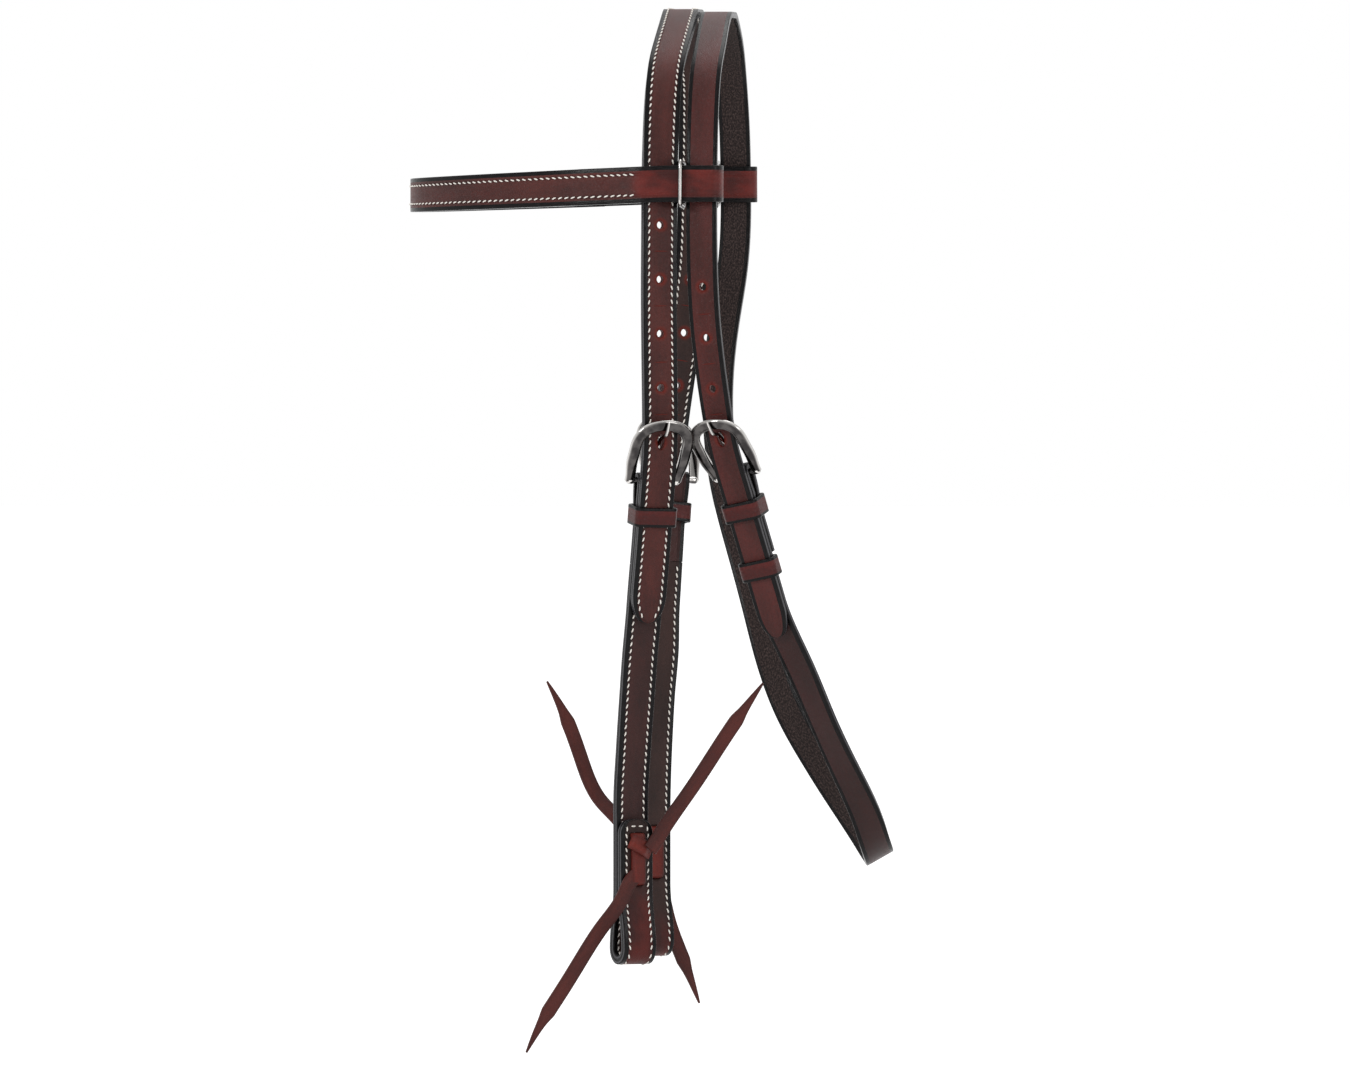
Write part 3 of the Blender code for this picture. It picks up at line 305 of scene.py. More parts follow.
# Throatlatch, behind its place beside the crown strap: the billet side, then the run under
# the throat and up the far side.
THROAT_BILLET_shares = (
    (0.0000, 0.30, 0.0048, 0.0), (0.0000, 0.55, 0.0285, 0.0), (-0.0015, 0.76, 0.0590, 0.0),
    (-0.0020, 0.91, 0.1130, 3.0), (-0.0020, 0.970, 0.1680, 6.0), (-0.0018, 0.990, 0.2210, 8.0),
    (-0.0008, 0.985, 0.2760, 10.0), (0.0015, 0.970, 0.3200, 12.0), (0.0060, 0.950, 0.3650, 14.0),
    (0.0120, 0.925, 0.4100, 16.0), (0.0205, 0.895, 0.4570, 17.0), (0.0310, 0.860, 0.4960, 17.0),
    (0.0415, 0.824, 0.5350, 17.0), (0.0523, 0.788, 0.5750, 17.0), (0.0631, 0.752, 0.6150, 17.0),
    (0.0750, 0.712, 0.6590, 17.0))
THROAT_LOWER_shares = (
    (-1, 0.0950, 0.615, 0.6850, 20.0), (-1, 0.1170, 0.520, 0.7400, 26.0),
    (-1, 0.1420, 0.400, 0.7990, 20.0), (-1, 0.1620, 0.280, 0.8480, 7.0),
    (-1, 0.1690, 0.165, 0.8755, 0.0), (1, 0.1700, 0.000, 0.8885, 0.0),
    (1, 0.1610, 0.150, 0.8795, -6.0), (1, 0.1490, 0.255, 0.8630, -14.0),
    (1, 0.1195, 0.380, 0.8220, -22.0), (1, 0.0910, 0.480, 0.7800, -26.0),
    (1, 0.0655, 0.575, 0.7370, -26.0), (1, 0.0445, 0.665, 0.6850, -22.0),
    (1, 0.0275, 0.750, 0.6250, -16.0), (1, 0.0095, 0.830, 0.5630, -11.0),
    (1, -0.0080, 0.890, 0.4980, -8.0), (1, -0.0165, 0.930, 0.4330, -8.0),
    (1, -0.0160, 0.955, 0.3700, -8.0), (1, -0.0095, 0.972, 0.3150, -8.0),
    (1, -0.0020, 0.983, 0.2650, -8.0), (1, 0.0012, 0.988, 0.2150, -7.0),
    (1, 0.0015, 0.970, 0.1680, -5.0), (1, 0.0010, 0.910, 0.1130, -2.0),
    (1, 0.0000, 0.760, 0.0590, 0.0), (1, 0.0005, 0.550, 0.0285, 0.0),
    (1, 0.0000, 0.300, 0.0048, 0.0))

# Browband seen from above: setback as a share of the brow's, side as a share of half width.
BROW_DROP_share = 0.176
BROW_DIP_share = 0.012
BROW_LEAN = math.radians(4.0)
BROW_shares = (
    (-0.160, 1.030), (-0.300, 0.978), (-0.500, 0.855), (-0.700, 0.680), (-0.865, 0.455),
    (-0.970, 0.225), (-1.000, 0.000))


def side_rows(shares, side, bar_share=1.0, tail=0.0, beside=0.0):
    """Rows of (setback, half width, height, twist) shares as places in metres.

    Rows below the bar's height share out the tail, which hangs that far below the bar.
    """
    rows = []
    last = shares[-1][2]
    for setback, half, height, twist in shares:
        drop = height * HEAD_LENGTH
        if height > bar_share:
            drop = bar_share * HEAD_LENGTH + tail * (height - bar_share) / (last - bar_share)
        rows.append((beside + setback * HEAD_LENGTH, side * half * HEAD_HALF_WIDTH, -drop,
                     math.radians(twist)))
    return rows


def signed(rows, side):
    return [(x, y, z, side * twist) for x, y, z, twist in rows]


def bar_run(route, side, height_share):
    """Distance along the crown route at which its side passes the buckle bar's height."""
    on_side = route.points[:, 1] * side > 0
    gaps = np.where(on_side, np.abs(route.points[:, 2] + height_share * HEAD_LENGTH), HEAD_LENGTH)
    near = int(gaps.argmin())
    order = np.argsort(route.points[near - 1:near + 2, 2])
    runs = route.run[near - 1:near + 2][order]
    heights = route.points[near - 1:near + 2, 2][order]
    return float(np.interp(-height_share * HEAD_LENGTH, heights, runs))


def crown_route():
    """The doubled crown strap's middle line, from the far tip over the poll to the near tip."""
    far = signed(side_rows(FAR_CROWN_shares, 1, BAR_HEIGHT_share, BILLET_TAIL), 1)[::-1]
    near = signed(side_rows(NEAR_CROWN_shares, -1, BAR_HEIGHT_share, BILLET_TAIL), -1)
    seat = [(0.0, side * POLL_SEAT / 2, DOUBLED / 2, 0.0) for side in (1, -1)]
    return route_through(far + seat + near, flat_seat=True)


def bit_frame(side):
    """Base point under a bit loop, with the flap's width and outward directions."""
    setback, half = BIT_PLACE_shares[side]
    base = np.array([setback * HEAD_LENGTH, side * half * HEAD_HALF_WIDTH, 0.0])
    twist = BIT_TWISTS[side]
    across = np.array([math.cos(twist), side * math.sin(twist), 0.0])
    outward = np.array([-math.sin(twist), side * math.cos(twist), 0.0])
    return base, across, outward


def behind_billet(billet, start, toward, tail, rest, offset):
    """Rows behind a billet: its own points, moved inward by a distance that falls from the
    buckle's offset to the resting one."""
    drops = np.arange(0.0, tail, STEP / 2)
    points, across, _, out = billet.at(start + toward * drops)
    places = points - out * (rest + (offset - rest) * blend(drops, FOLD_RUN))[:, None]
    return [(*p, t) for p, t in zip(places, np.arctan2(across[:, 1], across[:, 0]))]


def cheek_route(crown, side):
    """The doubled cheek's middle line: behind the billet, down, round the bit's arc of
    radius r, (-r cos a, -r sin a), and up the outside as the laced flap."""
    start = bar_run(crown, side, BAR_HEIGHT_share)
    rows = behind_billet(crown, start, -side, BILLET_TAIL, DOUBLED + GAP, BILLET_OFFSET)
    rows += signed(side_rows(NEAR_CHEEK_shares if side < 0 else FAR_CHEEK_shares, side), side)
    base, _, outward = bit_frame(side)
    twist = side * BIT_TWISTS[side]
    radius = (BIT_BORE + DOUBLED) / 2
    floor = -HEAD_LENGTH + DOUBLED / 2 + radius
    contact = -HEAD_LENGTH + FLAP_LENGTH - FLAP_CONTACT
    middle = (DOUBLED + GAP) / 2
    rows += [(base[0], base[1], contact + FLAP_CONTACT * share, twist)
             for share in (1.0, 0.75, 0.5, 0.25, 0.0)]
    at, length = spline(rows)
    found = at(stations(at, length, FINE, BEND_LIMIT))
    share = np.linspace(0.0, 1.0, 16)[1:-1]
    sway = 1.0 - blend(share, 1.0)
    turn = np.linspace(0.0, math.pi, 26)
    rise = np.linspace(0.0, 1.0, 18)
    heights = np.concatenate([contact + (floor - contact) * share, floor - radius * np.sin(turn),
                              contact + (floor - contact) * share[::-1],
                              contact + FLAP_CONTACT * rise])
    outness = np.concatenate([(middle - radius) * sway, middle - radius * np.cos(turn),
                              2 * middle - (middle - radius) * sway[::-1],
                              np.full(len(rise), 2 * middle)])
    fold = base + outward * outness[:, None] + UP * heights[:, None]
    twists = np.concatenate([found[:, 3], np.full(len(fold), twist)])
    return Route(np.concatenate([found[:, :3], fold]), flat_across(twists) * -side)


def wrapped(route, before, behind, thickness, tab):
    """A layer's own line: up the back from the tab's end, half a turn round the buckle's
    bar, then down the front; its distance from the middle line falls with blend()."""
    front = WIRE / 2 + GAP + thickness / 2

    def beside(runs, sign, middle):
        points, across, _, out = route.at(runs)
        return points + out * (sign * (middle + (front - middle) * blend(runs, FOLD_RUN)))[:, None], across

    back = beside(np.linspace(tab, 0.0, 24), -1.0, behind)
    centre, across, tangent, out = route.at_one(0.0)
    turn = np.linspace(0.0, math.pi, 16)[1:-1, None]
    arc = centre - out * (front * np.cos(turn)) - tangent * (front * np.sin(turn))
    down = np.concatenate([np.linspace(0.0, FOLD_RUN, 16)[:-1], route.run[route.run >= FOLD_RUN]])
    ahead = beside(down, 1.0, before)
    return Route(np.concatenate([back[0], arc, ahead[0]]),
                 np.concatenate([back[1], np.tile(across, (len(arc), 1)), ahead[1]]))


THROAT_ROLL = math.radians(30.0)
ROLL_REACH = 0.062


def throat_routes():
    """The throatlatch's billet, and its whole line: behind the billet from the bar, under
    the throat, up the far side and over the poll to the billet's tip."""
    billet_rows = side_rows(THROAT_BILLET_shares, -1, THROAT_BAR_share, THROAT_TAIL, THROAT_BESIDE)
    billet_rows = [(x, y, z, -t) for x, y, z, t in billet_rows]
    seat = [(THROAT_BESIDE, side * POLL_SEAT / 2, THROAT_THICK / 2, 0.0) for side in (1, -1)]
    billet = route_through(seat[1:] + billet_rows)
    start = bar_run(billet, -1, THROAT_BAR_share)
    rest = THROAT_THICK + GAP
    rows = behind_billet(billet, start, 1.0, THROAT_TAIL - STEP / 2, rest, THROAT_OFFSET)
    rows += [(THROAT_BESIDE + setback * HEAD_LENGTH, side * half * HEAD_HALF_WIDTH,
              -height * HEAD_LENGTH, side * math.radians(twist))
             for side, setback, half, height, twist in THROAT_LOWER_shares]
    whole = route_through(rows + seat + billet_rows, flat_seat=True)
    low = blend(np.abs(whole.points[:, 1]), ROLL_REACH) * (whole.points[:, 2] < -HEAD_LENGTH / 2)
    rolled = whole.across + UP * (math.tan(THROAT_ROLL) * low)[:, None]
    return billet, start, Route(whole.points, rolled)


crown = crown_route()
cheeks = {side: cheek_route(crown, side) for side in (-1, 1)}
throat_billet, throat_start, throat_line = throat_routes()
bar_runs = {side: bar_run(crown, side, BAR_HEIGHT_share) for side in (-1, 1)}
print("crown %.0f mm, cheek %.0f mm, throatlatch %.0f mm"
      % (crown.run[-1] * 1e3, cheeks[-1].run[-1] * 1e3, throat_line.run[-1] * 1e3))

# %% [markdown]
# ## Leather, as strips
#
# A strap's section is a flat bar with rounded corners, larger on the outside, where the
# edge is bevelled and burnished. The section is carried along the route, narrowing towards
# a pointed tip. Bevel modifiers could round it too, but a computed section also gives each
# point its distance from the edge, which the finish uses.

# %% A strip of leather
ROW_INSET = 0.0030
FAR_AWAY = HEAD_LENGTH * 9


def point_width(full, length, run_of_tip, tip_share=0.16):
    """Width near a tip: full (s + (1 - s) sqrt(1 - (1 - d / length)^2)) at distance d."""
    def width(runs):
        share = np.clip(np.abs(run_of_tip - np.asarray(runs, float)) / length, 0.0, 1.0)
        return full * (tip_share + (1.0 - tip_share) * np.sqrt(1.0 - (1.0 - share) ** 2))
    return width


def section(low, high, round_low, round_high):
    """Closed section as (share of half width, extra width, height, part) rows, part 0 on
    the outer face, 1 on the edges and 2 on the inner face. Corners are quarter circles."""
    corner = np.linspace(0.0, math.pi / 2, 5)
    flat = np.linspace(1.0, -1.0, 11)[1:-1]
    rows = []
    for side, angles in ((1, corner), (-1, corner[::-1])):
        if side < 0:
            rows += [(s, -s * round_high, high, 0) for s in flat]
        rows += [(side, side * round_high * (math.cos(a) - 1.0),
                  high - round_high * (1.0 - math.sin(a)), 1) for a in angles]
    for side, angles in ((-1, corner), (1, corner[::-1])):
        if side > 0:
            rows += [(-s, s * round_low, low, 2) for s in flat]
        rows += [(side, side * round_low * (math.cos(a) - 1.0),
                  low + round_low * (1.0 - math.sin(a)), 1) for a in angles]
    return np.array(rows)


def write_uv(mesh, name, values):
    layer = mesh.uv_layers.new(name=name)
    corners = np.empty(len(mesh.loops), np.int32)
    mesh.loops.foreach_get("vertex_index", corners)
    layer.data.foreach_set("uv", np.asarray(values, np.float32)[corners].ravel())


def paired(first, second):
    """A map's two numbers for each point of the rings."""
    return np.stack(np.broadcast_arrays(first, second), axis=-1).reshape(-1, 2)


def placed(name, data):
    """A new object in the scene with this mesh or light, at the origin."""
    made = bpy.data.objects.new(name, data)
    scene.collection.objects.link(made)
    return made


def closed_sweep(name, rings, parts, materials, uvs, looped=False):
    """Mesh of rings of points, (rings, around, 3), joined by quads. The ends are capped, or
    joined to each other where the path is a loop."""
    count, around = rings.shape[:2]
    i, j = np.meshgrid(np.arange(count - (not looped)), np.arange(around), indexing="ij")
    k, n = (j + 1) % around, (i + 1) % count
    quads = np.stack([i * around + j, i * around + k, n * around + k, n * around + j], axis=-1)
    faces = quads.reshape(-1, 4).tolist()
    parts = np.zeros(around, int) if parts is None else parts
    kinds = np.where(parts[j] == parts[k], parts[j], 1).ravel()
    last = (count - 1) * around
    caps = [] if looped else [list(range(around))[::-1], list(range(last, last + around))]
    mesh = bpy.data.meshes.new(name)
    mesh.from_pydata(rings.reshape(-1, 3).tolist(), [], faces + caps)
    for label, values in uvs.items():
        write_uv(mesh, label, values)
    slots = list(dict.fromkeys(materials))
    for finish in slots:
        mesh.materials.append(finish)
    ends = [min(1, len(materials) - 1)] * len(caps)
    slot_of = np.array([slots.index(finish) for finish in materials])
    chosen = slot_of[np.concatenate([kinds, ends]).astype(int)]
    mesh.polygons.foreach_set("material_index", chosen.astype(np.int32))
    tidy(mesh)
    return placed(name, mesh)


def tidy(mesh, sharp_from=42.0):
    """Faces outwards, smooth shading, and sharp edges past an angle in degrees."""
    shape = bmesh.new()
    shape.from_mesh(mesh)
    bmesh.ops.recalc_face_normals(shape, faces=shape.faces)
    shape.to_mesh(mesh)
    shape.free()
    mesh.shade_smooth()
    mesh.set_sharp_from_angle(angle=math.radians(sharp_from))


def from_nearest(runs, holes):
    """Distance along the strap to the nearest hole's middle, behind it negative."""
    gaps = runs[..., None] - np.asarray(holes)
    return np.take_along_axis(gaps, np.abs(gaps).argmin(axis=-1)[..., None], axis=-1)[..., 0]


def strip(name, route, low, high, width, materials, rounds, start=0.0, end=None,
          holes=(FAR_AWAY,), inset=ROW_INSET):
    """A strip of leather. Point = route + across * w + outward * h, for the section's (w, h).
    Its maps give distance along and across, distance from the edge and height in the layer,
    distance from the stitch row, and from a hole."""
    end = route.run[-1] if end is None else end
    inner = route.run[(route.run > start + 1e-4) & (route.run < end - 1e-4)]
    extra = [np.linspace(start, start + TIP_LENGTH, 20), np.linspace(end - TIP_LENGTH, end, 20)]
    runs = np.unique(np.round(np.concatenate([inner] + extra), 5))
    points, across, _, out = route.at(runs)
    half = width(runs)[:, None] / 2
    rows = section(low, high, *rounds)
    sideways = rows[:, 0] * half + rows[:, 1]
    rings = points[:, None] + across[:, None] * sideways[..., None] + out[:, None] * rows[:, 2, None]
    along = runs[:, None]
    up_layer = (rows[:, 2] - low) / (high - low)
    uvs = {"Along": paired(along, sideways), "Seam": paired(along, np.abs(sideways) - (half - inset)),
           "Edge": paired(half - np.abs(sideways), up_layer),
           "Holes": paired(from_nearest(along, holes), sideways)}
    return closed_sweep(name, rings, rows[:, 3].astype(int), materials, uvs)

# %% [markdown]
# ## Finishes
#
# Bridle leather is dyed through, then glazed: brown-red where the dye is thin, nearly black
# where an edge is burnished. Noise gives the slow colour change, a Voronoi pattern gives
# the pores, and the maps of each strip place the stitch groove and the stains at holes.
# Painted textures could hold the same marks, but patterns in metres stay sharp close up.

# %% Leather
SMOOTH = {"interpolation_type": "SMOOTHSTEP"}
TIMES = {"operation": "MULTIPLY"}
TIMES_PLUS = {"operation": "MULTIPLY_ADD"}
COLOURS = {"data_type": "RGBA", "out": 2}
SHEEN = 0.20
PORE = 0.00075
WEAR = 0.5
# Black of the dyed edges and pores. It also dims the red of the bit loops, and is painted shade in the
# stitch groove, along the lower borders of the browband's loops and on the throatlatch's low run.
EDGE_BLACK_AND_SHADE = "#0c0808"
HOLE_STAIN = "#641c12"


def uv(tree, name):
    """One of a strip's maps: as a vector, and its two distances."""
    place = add(tree, "UVMap", uv_map=name)
    return place, add(tree, "SeparateXYZ", place), add(tree, "SeparateXYZ", place, out=1)


def grain(tree, place, size, stretch):
    """Pores: distance to Voronoi cell walls, for cells of a size in metres."""
    scaled = add(tree, "Mapping", place, Scale=(1.0 / stretch, 1.0, 1.0))
    walls = add(tree, "TexVoronoi", scaled, Scale=1.0 / size, feature="DISTANCE_TO_EDGE", out="Distance")
    return add(tree, "MapRange", walls, 0.0, 0.18, **SMOOTH)


def clouds(tree, place, size, stretch=1.0, detail=4.0):
    """Noise with features of a size in metres, longer along the strap by the stretch."""
    scaled = add(tree, "Mapping", place, Scale=(1.0 / stretch, 1.0, 1.0))
    return add(tree, "TexNoise", scaled, Scale=1.0 / size, Detail=detail)


def tint(tree, colour, other, value, low, high, at_low=0.0, at_high=1.0):
    """Mixes a colour towards another by a smooth step of a value between two limits."""
    share = add(tree, "MapRange", value, low, high, at_low, at_high, **SMOOTH)
    return add(tree, "Mix", share, _6=colour, _7=other, **COLOURS)


def leather(name, thin, deep, roughness, stitched=False, border=1.0):
    """Glazed leather from two dye colours, with pores, creases, darkened edges and painted shade in the
    stitch groove.
    """
    made, tree, shader = new_material(name)
    along = uv(tree, "Along")[0]
    from_edge = uv(tree, "Edge")[1]
    from_hole = add(tree, "VectorMath", uv(tree, "Holes")[0], operation="LENGTH", out="Value")
    patchy = add(tree, "MapRange", clouds(tree, along, 0.018, 3.0), 0.36, 0.66, **SMOOTH)
    fine = clouds(tree, along, 0.0016, 2.0, 6.0)
    pores = grain(tree, along, PORE, 1.3)
    share = add(tree, "Math", fine, 0.6, add(tree, "Math", patchy, WEAR, **TIMES), **TIMES_PLUS)
    share = add(tree, "Math", share, 0.95, use_clamp=True, **TIMES)
    colour = add(tree, "Mix", share, _6=deep, _7=thin, **COLOURS)
    colour = tint(tree, colour, EDGE_BLACK_AND_SHADE, from_edge, 0.0004, 0.0022, border, 0.0)
    colour = tint(tree, colour, EDGE_BLACK_AND_SHADE, pores, 0.0, 1.0, 0.22, 0.0)
    colour = tint(tree, colour, HOLE_STAIN, from_hole, 0.0023, 0.0048, 0.85, 0.0)
    height = add(tree, "Math", fine, 0.5, add(tree, "Math", pores, 0.55, **TIMES), **TIMES_PLUS)
    pucker = add(tree, "MapRange", from_hole, 0.0022, 0.0046, -1.4, 0.0, **SMOOTH)
    height = add(tree, "Math", height, pucker, operation="ADD")
    if stitched:
        off = add(tree, "Math", uv(tree, "Seam")[2], operation="ABSOLUTE")
        groove = add(tree, "MapRange", off, 0.0001, 0.0010, 1.0, 0.0, **SMOOTH)
        height = add(tree, "Math", groove, -1.9, height, **TIMES_PLUS)
        # painted shade: the stitch groove is darkened towards black
        dark = add(tree, "Math", groove, 0.45, **TIMES)
        colour = add(tree, "Mix", dark, _6=colour, _7=EDGE_BLACK_AND_SHADE, **COLOURS)
    gloss = add(tree, "Math", fine, 0.22, roughness - 0.10, **TIMES_PLUS)
    fill(tree, shader, {"Base Color": colour, "Roughness": gloss, "Specular IOR Level": SHEEN,
                        "Normal": add(tree, "Bump", Height=height, Strength=1.0, Distance=0.00016)})
    return made


def variant(name, base):
    """A copy of a leather, with the colour that its shader had."""
    made = base.copy()
    made.name = name
    tree = made.node_tree
    shader = tree.nodes["Principled BSDF"]
    return made, tree, shader, shader.inputs["Base Color"].links[0].from_socket


def two_tone(name, base, middle, half, soft, ends, border, dim=0.0):
    """A base leather and a redder, plain glazed one, past or inside a distance from a
    middle run, with dark borders: the black dyed edge, widened along the lower edge by painted shade."""
    made, tree, shader, old = variant(name, base)
    along, run, beside = uv(tree, "Along")
    off = add(tree, "Math", add(tree, "Math", run, middle, operation="SUBTRACT"), operation="ABSOLUTE")
    red = tint(tree, "#3a100d", "#66201a", clouds(tree, along, 0.012, 2.0), 0.35, 0.65)
    red = add(tree, "Mix", dim, _6=red, _7=EDGE_BLACK_AND_SHADE, **COLOURS)
    # painted shade: the dark border is wider along the lower edge, by the border argument, where the strip
    # turns under
    below = add(tree, "Math", beside, 0.0, operation="GREATER_THAN")
    lower = add(tree, "Math", below, border, 0.0026, **TIMES_PLUS)
    red = tint(tree, red, EDGE_BLACK_AND_SHADE, uv(tree, "Edge")[1], 0.0006, lower, 1.0, 0.0)
    fill(tree, shader, {"Base Color": tint(tree, old, red, off, half - soft, half + soft, *ends)})
    return made, tree, shader, off


def shaded(name, base, run_from, soft, depth):
    """A base leather darkened towards black before a run along the strap, as painted shade."""
    made, tree, shader, old = variant(name, base)
    run = uv(tree, "Along")[1]
    # painted shade: darker before the run, fading out past it
    deep = tint(tree, old, EDGE_BLACK_AND_SHADE, run, run_from - soft, run_from + soft, depth, 0.0)
    fill(tree, shader, {"Base Color": deep})
    return made


chestnut = leather("Chestnut bridle leather", "#5c2a25", "#2b1210", 0.40, stitched=True)
dark_chestnut = leather("Dark chestnut leather", "#43211e", "#200f0e", 0.38, stitched=True)
plain_chestnut = leather("Plain chestnut leather", "#5b2724", "#31130f", 0.36)
loop_leather = leather("Red loop leather", "#611e1a", "#330d0c", 0.32)
lining_leather = leather("Lining leather", "#3f2a26", "#1d1210", 0.52, stitched=True)
latigo = leather("Latigo lace", "#5f2a24", "#331513", 0.50, border=0.25)
red_latigo = leather("Red latigo knot", "#7a2a20", "#4a150f", 0.42, border=0.35)

# %% Burnished edges, flesh side, thread and steel
def burnished(name):
    """Edge of stacked layers, dyed black and rubbed with wax: fine fibres along the strap,
    and a painted highlight, a paler line along the rounded crown of each layer."""
    made, tree, shader = new_material(name)
    fibres = clouds(tree, uv(tree, "Along")[0], 0.0006, 7.0, 5.0)
    colour = tint(tree, "#070607", "#1a1718", fibres, 0.40, 0.72)
    off_highlight_line = add(tree, "Math", uv(tree, "Edge")[2], 0.5, operation="SUBTRACT")
    off_highlight_line = add(tree, "Math", off_highlight_line, operation="ABSOLUTE")
    # painted highlight: a pale line along the middle of each layer's edge, where its rounded crown would
    # catch the light
    colour = tint(tree, colour, "#77757c", off_highlight_line, 0.06, 0.22, 0.42, 0.0)
    fill(tree, shader, {"Base Color": colour, "Specular IOR Level": 0.6 * SHEEN,
                        "Roughness": add(tree, "Math", fibres, 0.3, 0.12, **TIMES_PLUS),
                        "Normal": add(tree, "Bump", Height=fibres, Strength=1.0, Distance=0.00014)})
    return made


def flesh(name):
    """Flesh side: short loose fibres, matt, with pale nap on a grey-brown ground."""
    made, tree, shader = new_material(name)
    along = uv(tree, "Along")[0]
    nap = clouds(tree, along, 0.0008, 1.5, 8.0)
    colour = tint(tree, "#1c1413", "#4d3f3c", nap, 0.40, 0.70)
    colour = tint(tree, colour, EDGE_BLACK_AND_SHADE, uv(tree, "Edge")[1], 0.0003, 0.0013, 1.0, 0.0)
    lumps = add(tree, "Math", grain(tree, along, 0.0008, 1.2), 0.5, **TIMES)
    height = add(tree, "Math", nap, 1.0, lumps, **TIMES_PLUS)
    fill(tree, shader, {"Base Color": colour, "Roughness": 0.72, "Specular IOR Level": SHEEN,
                        "Normal": add(tree, "Bump", Height=height, Strength=1.0, Distance=0.0004)})
    return made


def waxed_thread(name):
    """Twisted thread: a slanted wave across the run gives its plies, with painted light and shade: lighter
    on each ply's crest, darker between plies.
    """
    made, tree, shader = new_material(name)
    _, run, around = uv(tree, "Along")
    slant = add(tree, "Math", around, 1.5, **TIMES)
    turn = add(tree, "Math", run, 1.0 / 0.0011, slant, **TIMES_PLUS)
    ply = add(tree, "Math", add(tree, "Math", turn, math.tau, **TIMES), operation="SINE")
    # painted light and shade: the thread is lighter on the plies' crests and darker between them
    fill(tree, shader, {"Base Color": tint(tree, "#e6dccf", "#fffdf8", ply, -1.0, 1.0), "Roughness": 0.55,
                        "Normal": add(tree, "Bump", Height=ply, Strength=1.0, Distance=0.00005)})
    return made


def polished_steel(name):
    """Cast steel in dark grey, with a painted highlight: the rounded flanks of each section are coloured
    bright, the flat face stays darker.
    """
    made, tree, shader = new_material(name)
    place = add(tree, "TexCoord", out="Object")
    waves = clouds(tree, place, 0.006, 1.0, 2.0)
    scratches = clouds(tree, place, 0.0005, 5.0, 4.0)
    colour = tint(tree, "#333131", "#524f4e", waves, 0.35, 0.65)
    # painted highlight: bright colour on the flanks of each section, where the lamps would glint
    colour = tint(tree, colour, "#c9c6c3", uv(tree, "Edge")[1], 0.0002, 0.0012)
    fill(tree, shader, {"Base Color": colour, "Metallic": 1.0,
                        "Roughness": add(tree, "Math", scratches, 0.08, 0.07, **TIMES_PLUS),
                        "Normal": add(tree, "Bump", Height=waves, Strength=1.0, Distance=0.00003)})
    return made


burnished_edge = burnished("Burnished edge")
flesh_side = flesh("Flesh side")
thread = waxed_thread("Cream waxed thread")
steel = polished_steel("Polished steel")
hole_wall = leather("Punched hole wall", "#5e2018", "#341009", 0.60)
print("finishes:", len(bpy.data.materials))

# %% [markdown]
# ## The crown strap and the cheeks
#
# Two layers of leather are glued, trimmed and stitched round the edge. Each layer is a
# strip of its own here, so a fine seam line shows between them on the edge. Holes and slots
# are cut by Boolean, as a punch would. The holes' walls are dyed red, and the other slots'
# walls take the edge's finish.

# %% Punches
def dress(piece, body, slot, *nodes):
    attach(piece, body)
    if nodes:
        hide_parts(*nodes)
    return piece


def punch_mesh(places, half_long, half_wide, depth, power=2.0, around=24, wall=None):
    """Upright prisms on places of (centre, across, tangent, out): a superellipse
    |x / a|^n + |y / b|^n = 1 swept along the outward direction."""
    angle = np.linspace(0.0, math.tau, around, endpoint=False)
    c, s = np.cos(angle), np.sin(angle)
    x = half_wide * np.sign(c) * np.abs(c) ** (2.0 / power)
    y = half_long * np.sign(s) * np.abs(s) ** (2.0 / power)
    points, faces = [], []
    for centre, across, tangent, out in places:
        base = len(points) * 2 * around
        ring = centre + x[:, None] * across + y[:, None] * tangent
        points.append(np.concatenate([ring - out * depth, ring + out * depth]))
        j = np.arange(around)
        k = (j + 1) % around
        faces += (base + np.stack([j, k, k + around, j + around], axis=1)).tolist()
        faces += [(base + j[::-1]).tolist(), (base + around + j).tolist()]
    mesh = bpy.data.meshes.new("punch")
    mesh.from_pydata(np.concatenate(points).tolist(), [], faces)
    mesh.materials.append(wall or burnished_edge)
    tidy(mesh)
    return mesh


def punch(piece, mesh):
    """Cuts a punch out of a piece and keeps the result as the piece's mesh."""
    tool = placed("punch", mesh)
    step = piece.modifiers.new("Punch", "BOOLEAN")
    step.operation = "DIFFERENCE"
    step.solver = "EXACT"
    step.material_mode = "TRANSFER"
    step.object = tool
    graph = bpy.context.evaluated_depsgraph_get()
    result = bpy.data.meshes.new_from_object(piece.evaluated_get(graph))
    piece.modifiers.clear()
    piece.data = result
    bpy.data.objects.remove(tool, do_unlink=True)


HOLE_WIDTH = 0.0042
HOLE_LENGTH = 0.0100
TONGUE_SLOT = 0.0084
EDGE_ROUNDS = (0.00012, 0.00055)
LINING_ROUNDS = (0.00045, 0.00012)


def hole_runs(start, sign, pitch, count):
    """The tongue's hole and the spare ones: start - sign (rise + i pitch)."""
    return start - sign * (HOLE_RISE + np.arange(count + 1) * pitch)


def punch_holes(piece, route, runs):
    """A long slot for the tongue at the first run, and round holes at the others."""
    places = list(zip(*route.at(runs)))
    punch(piece, punch_mesh(places[:1], TONGUE_SLOT / 2, HOLE_WIDTH / 2, 2 * DOUBLED, wall=hole_wall))
    punch(piece, punch_mesh(places[1:], HOLE_WIDTH / 2, HOLE_WIDTH / 2, 2 * DOUBLED, wall=hole_wall))


# %% Crown strap
crown_tips = [point_width(STRAP_WIDTH, TIP_LENGTH, tip) for tip in (0.0, crown.run[-1])]


def crown_width(runs):
    return np.minimum(crown_tips[0](runs), crown_tips[1](runs))


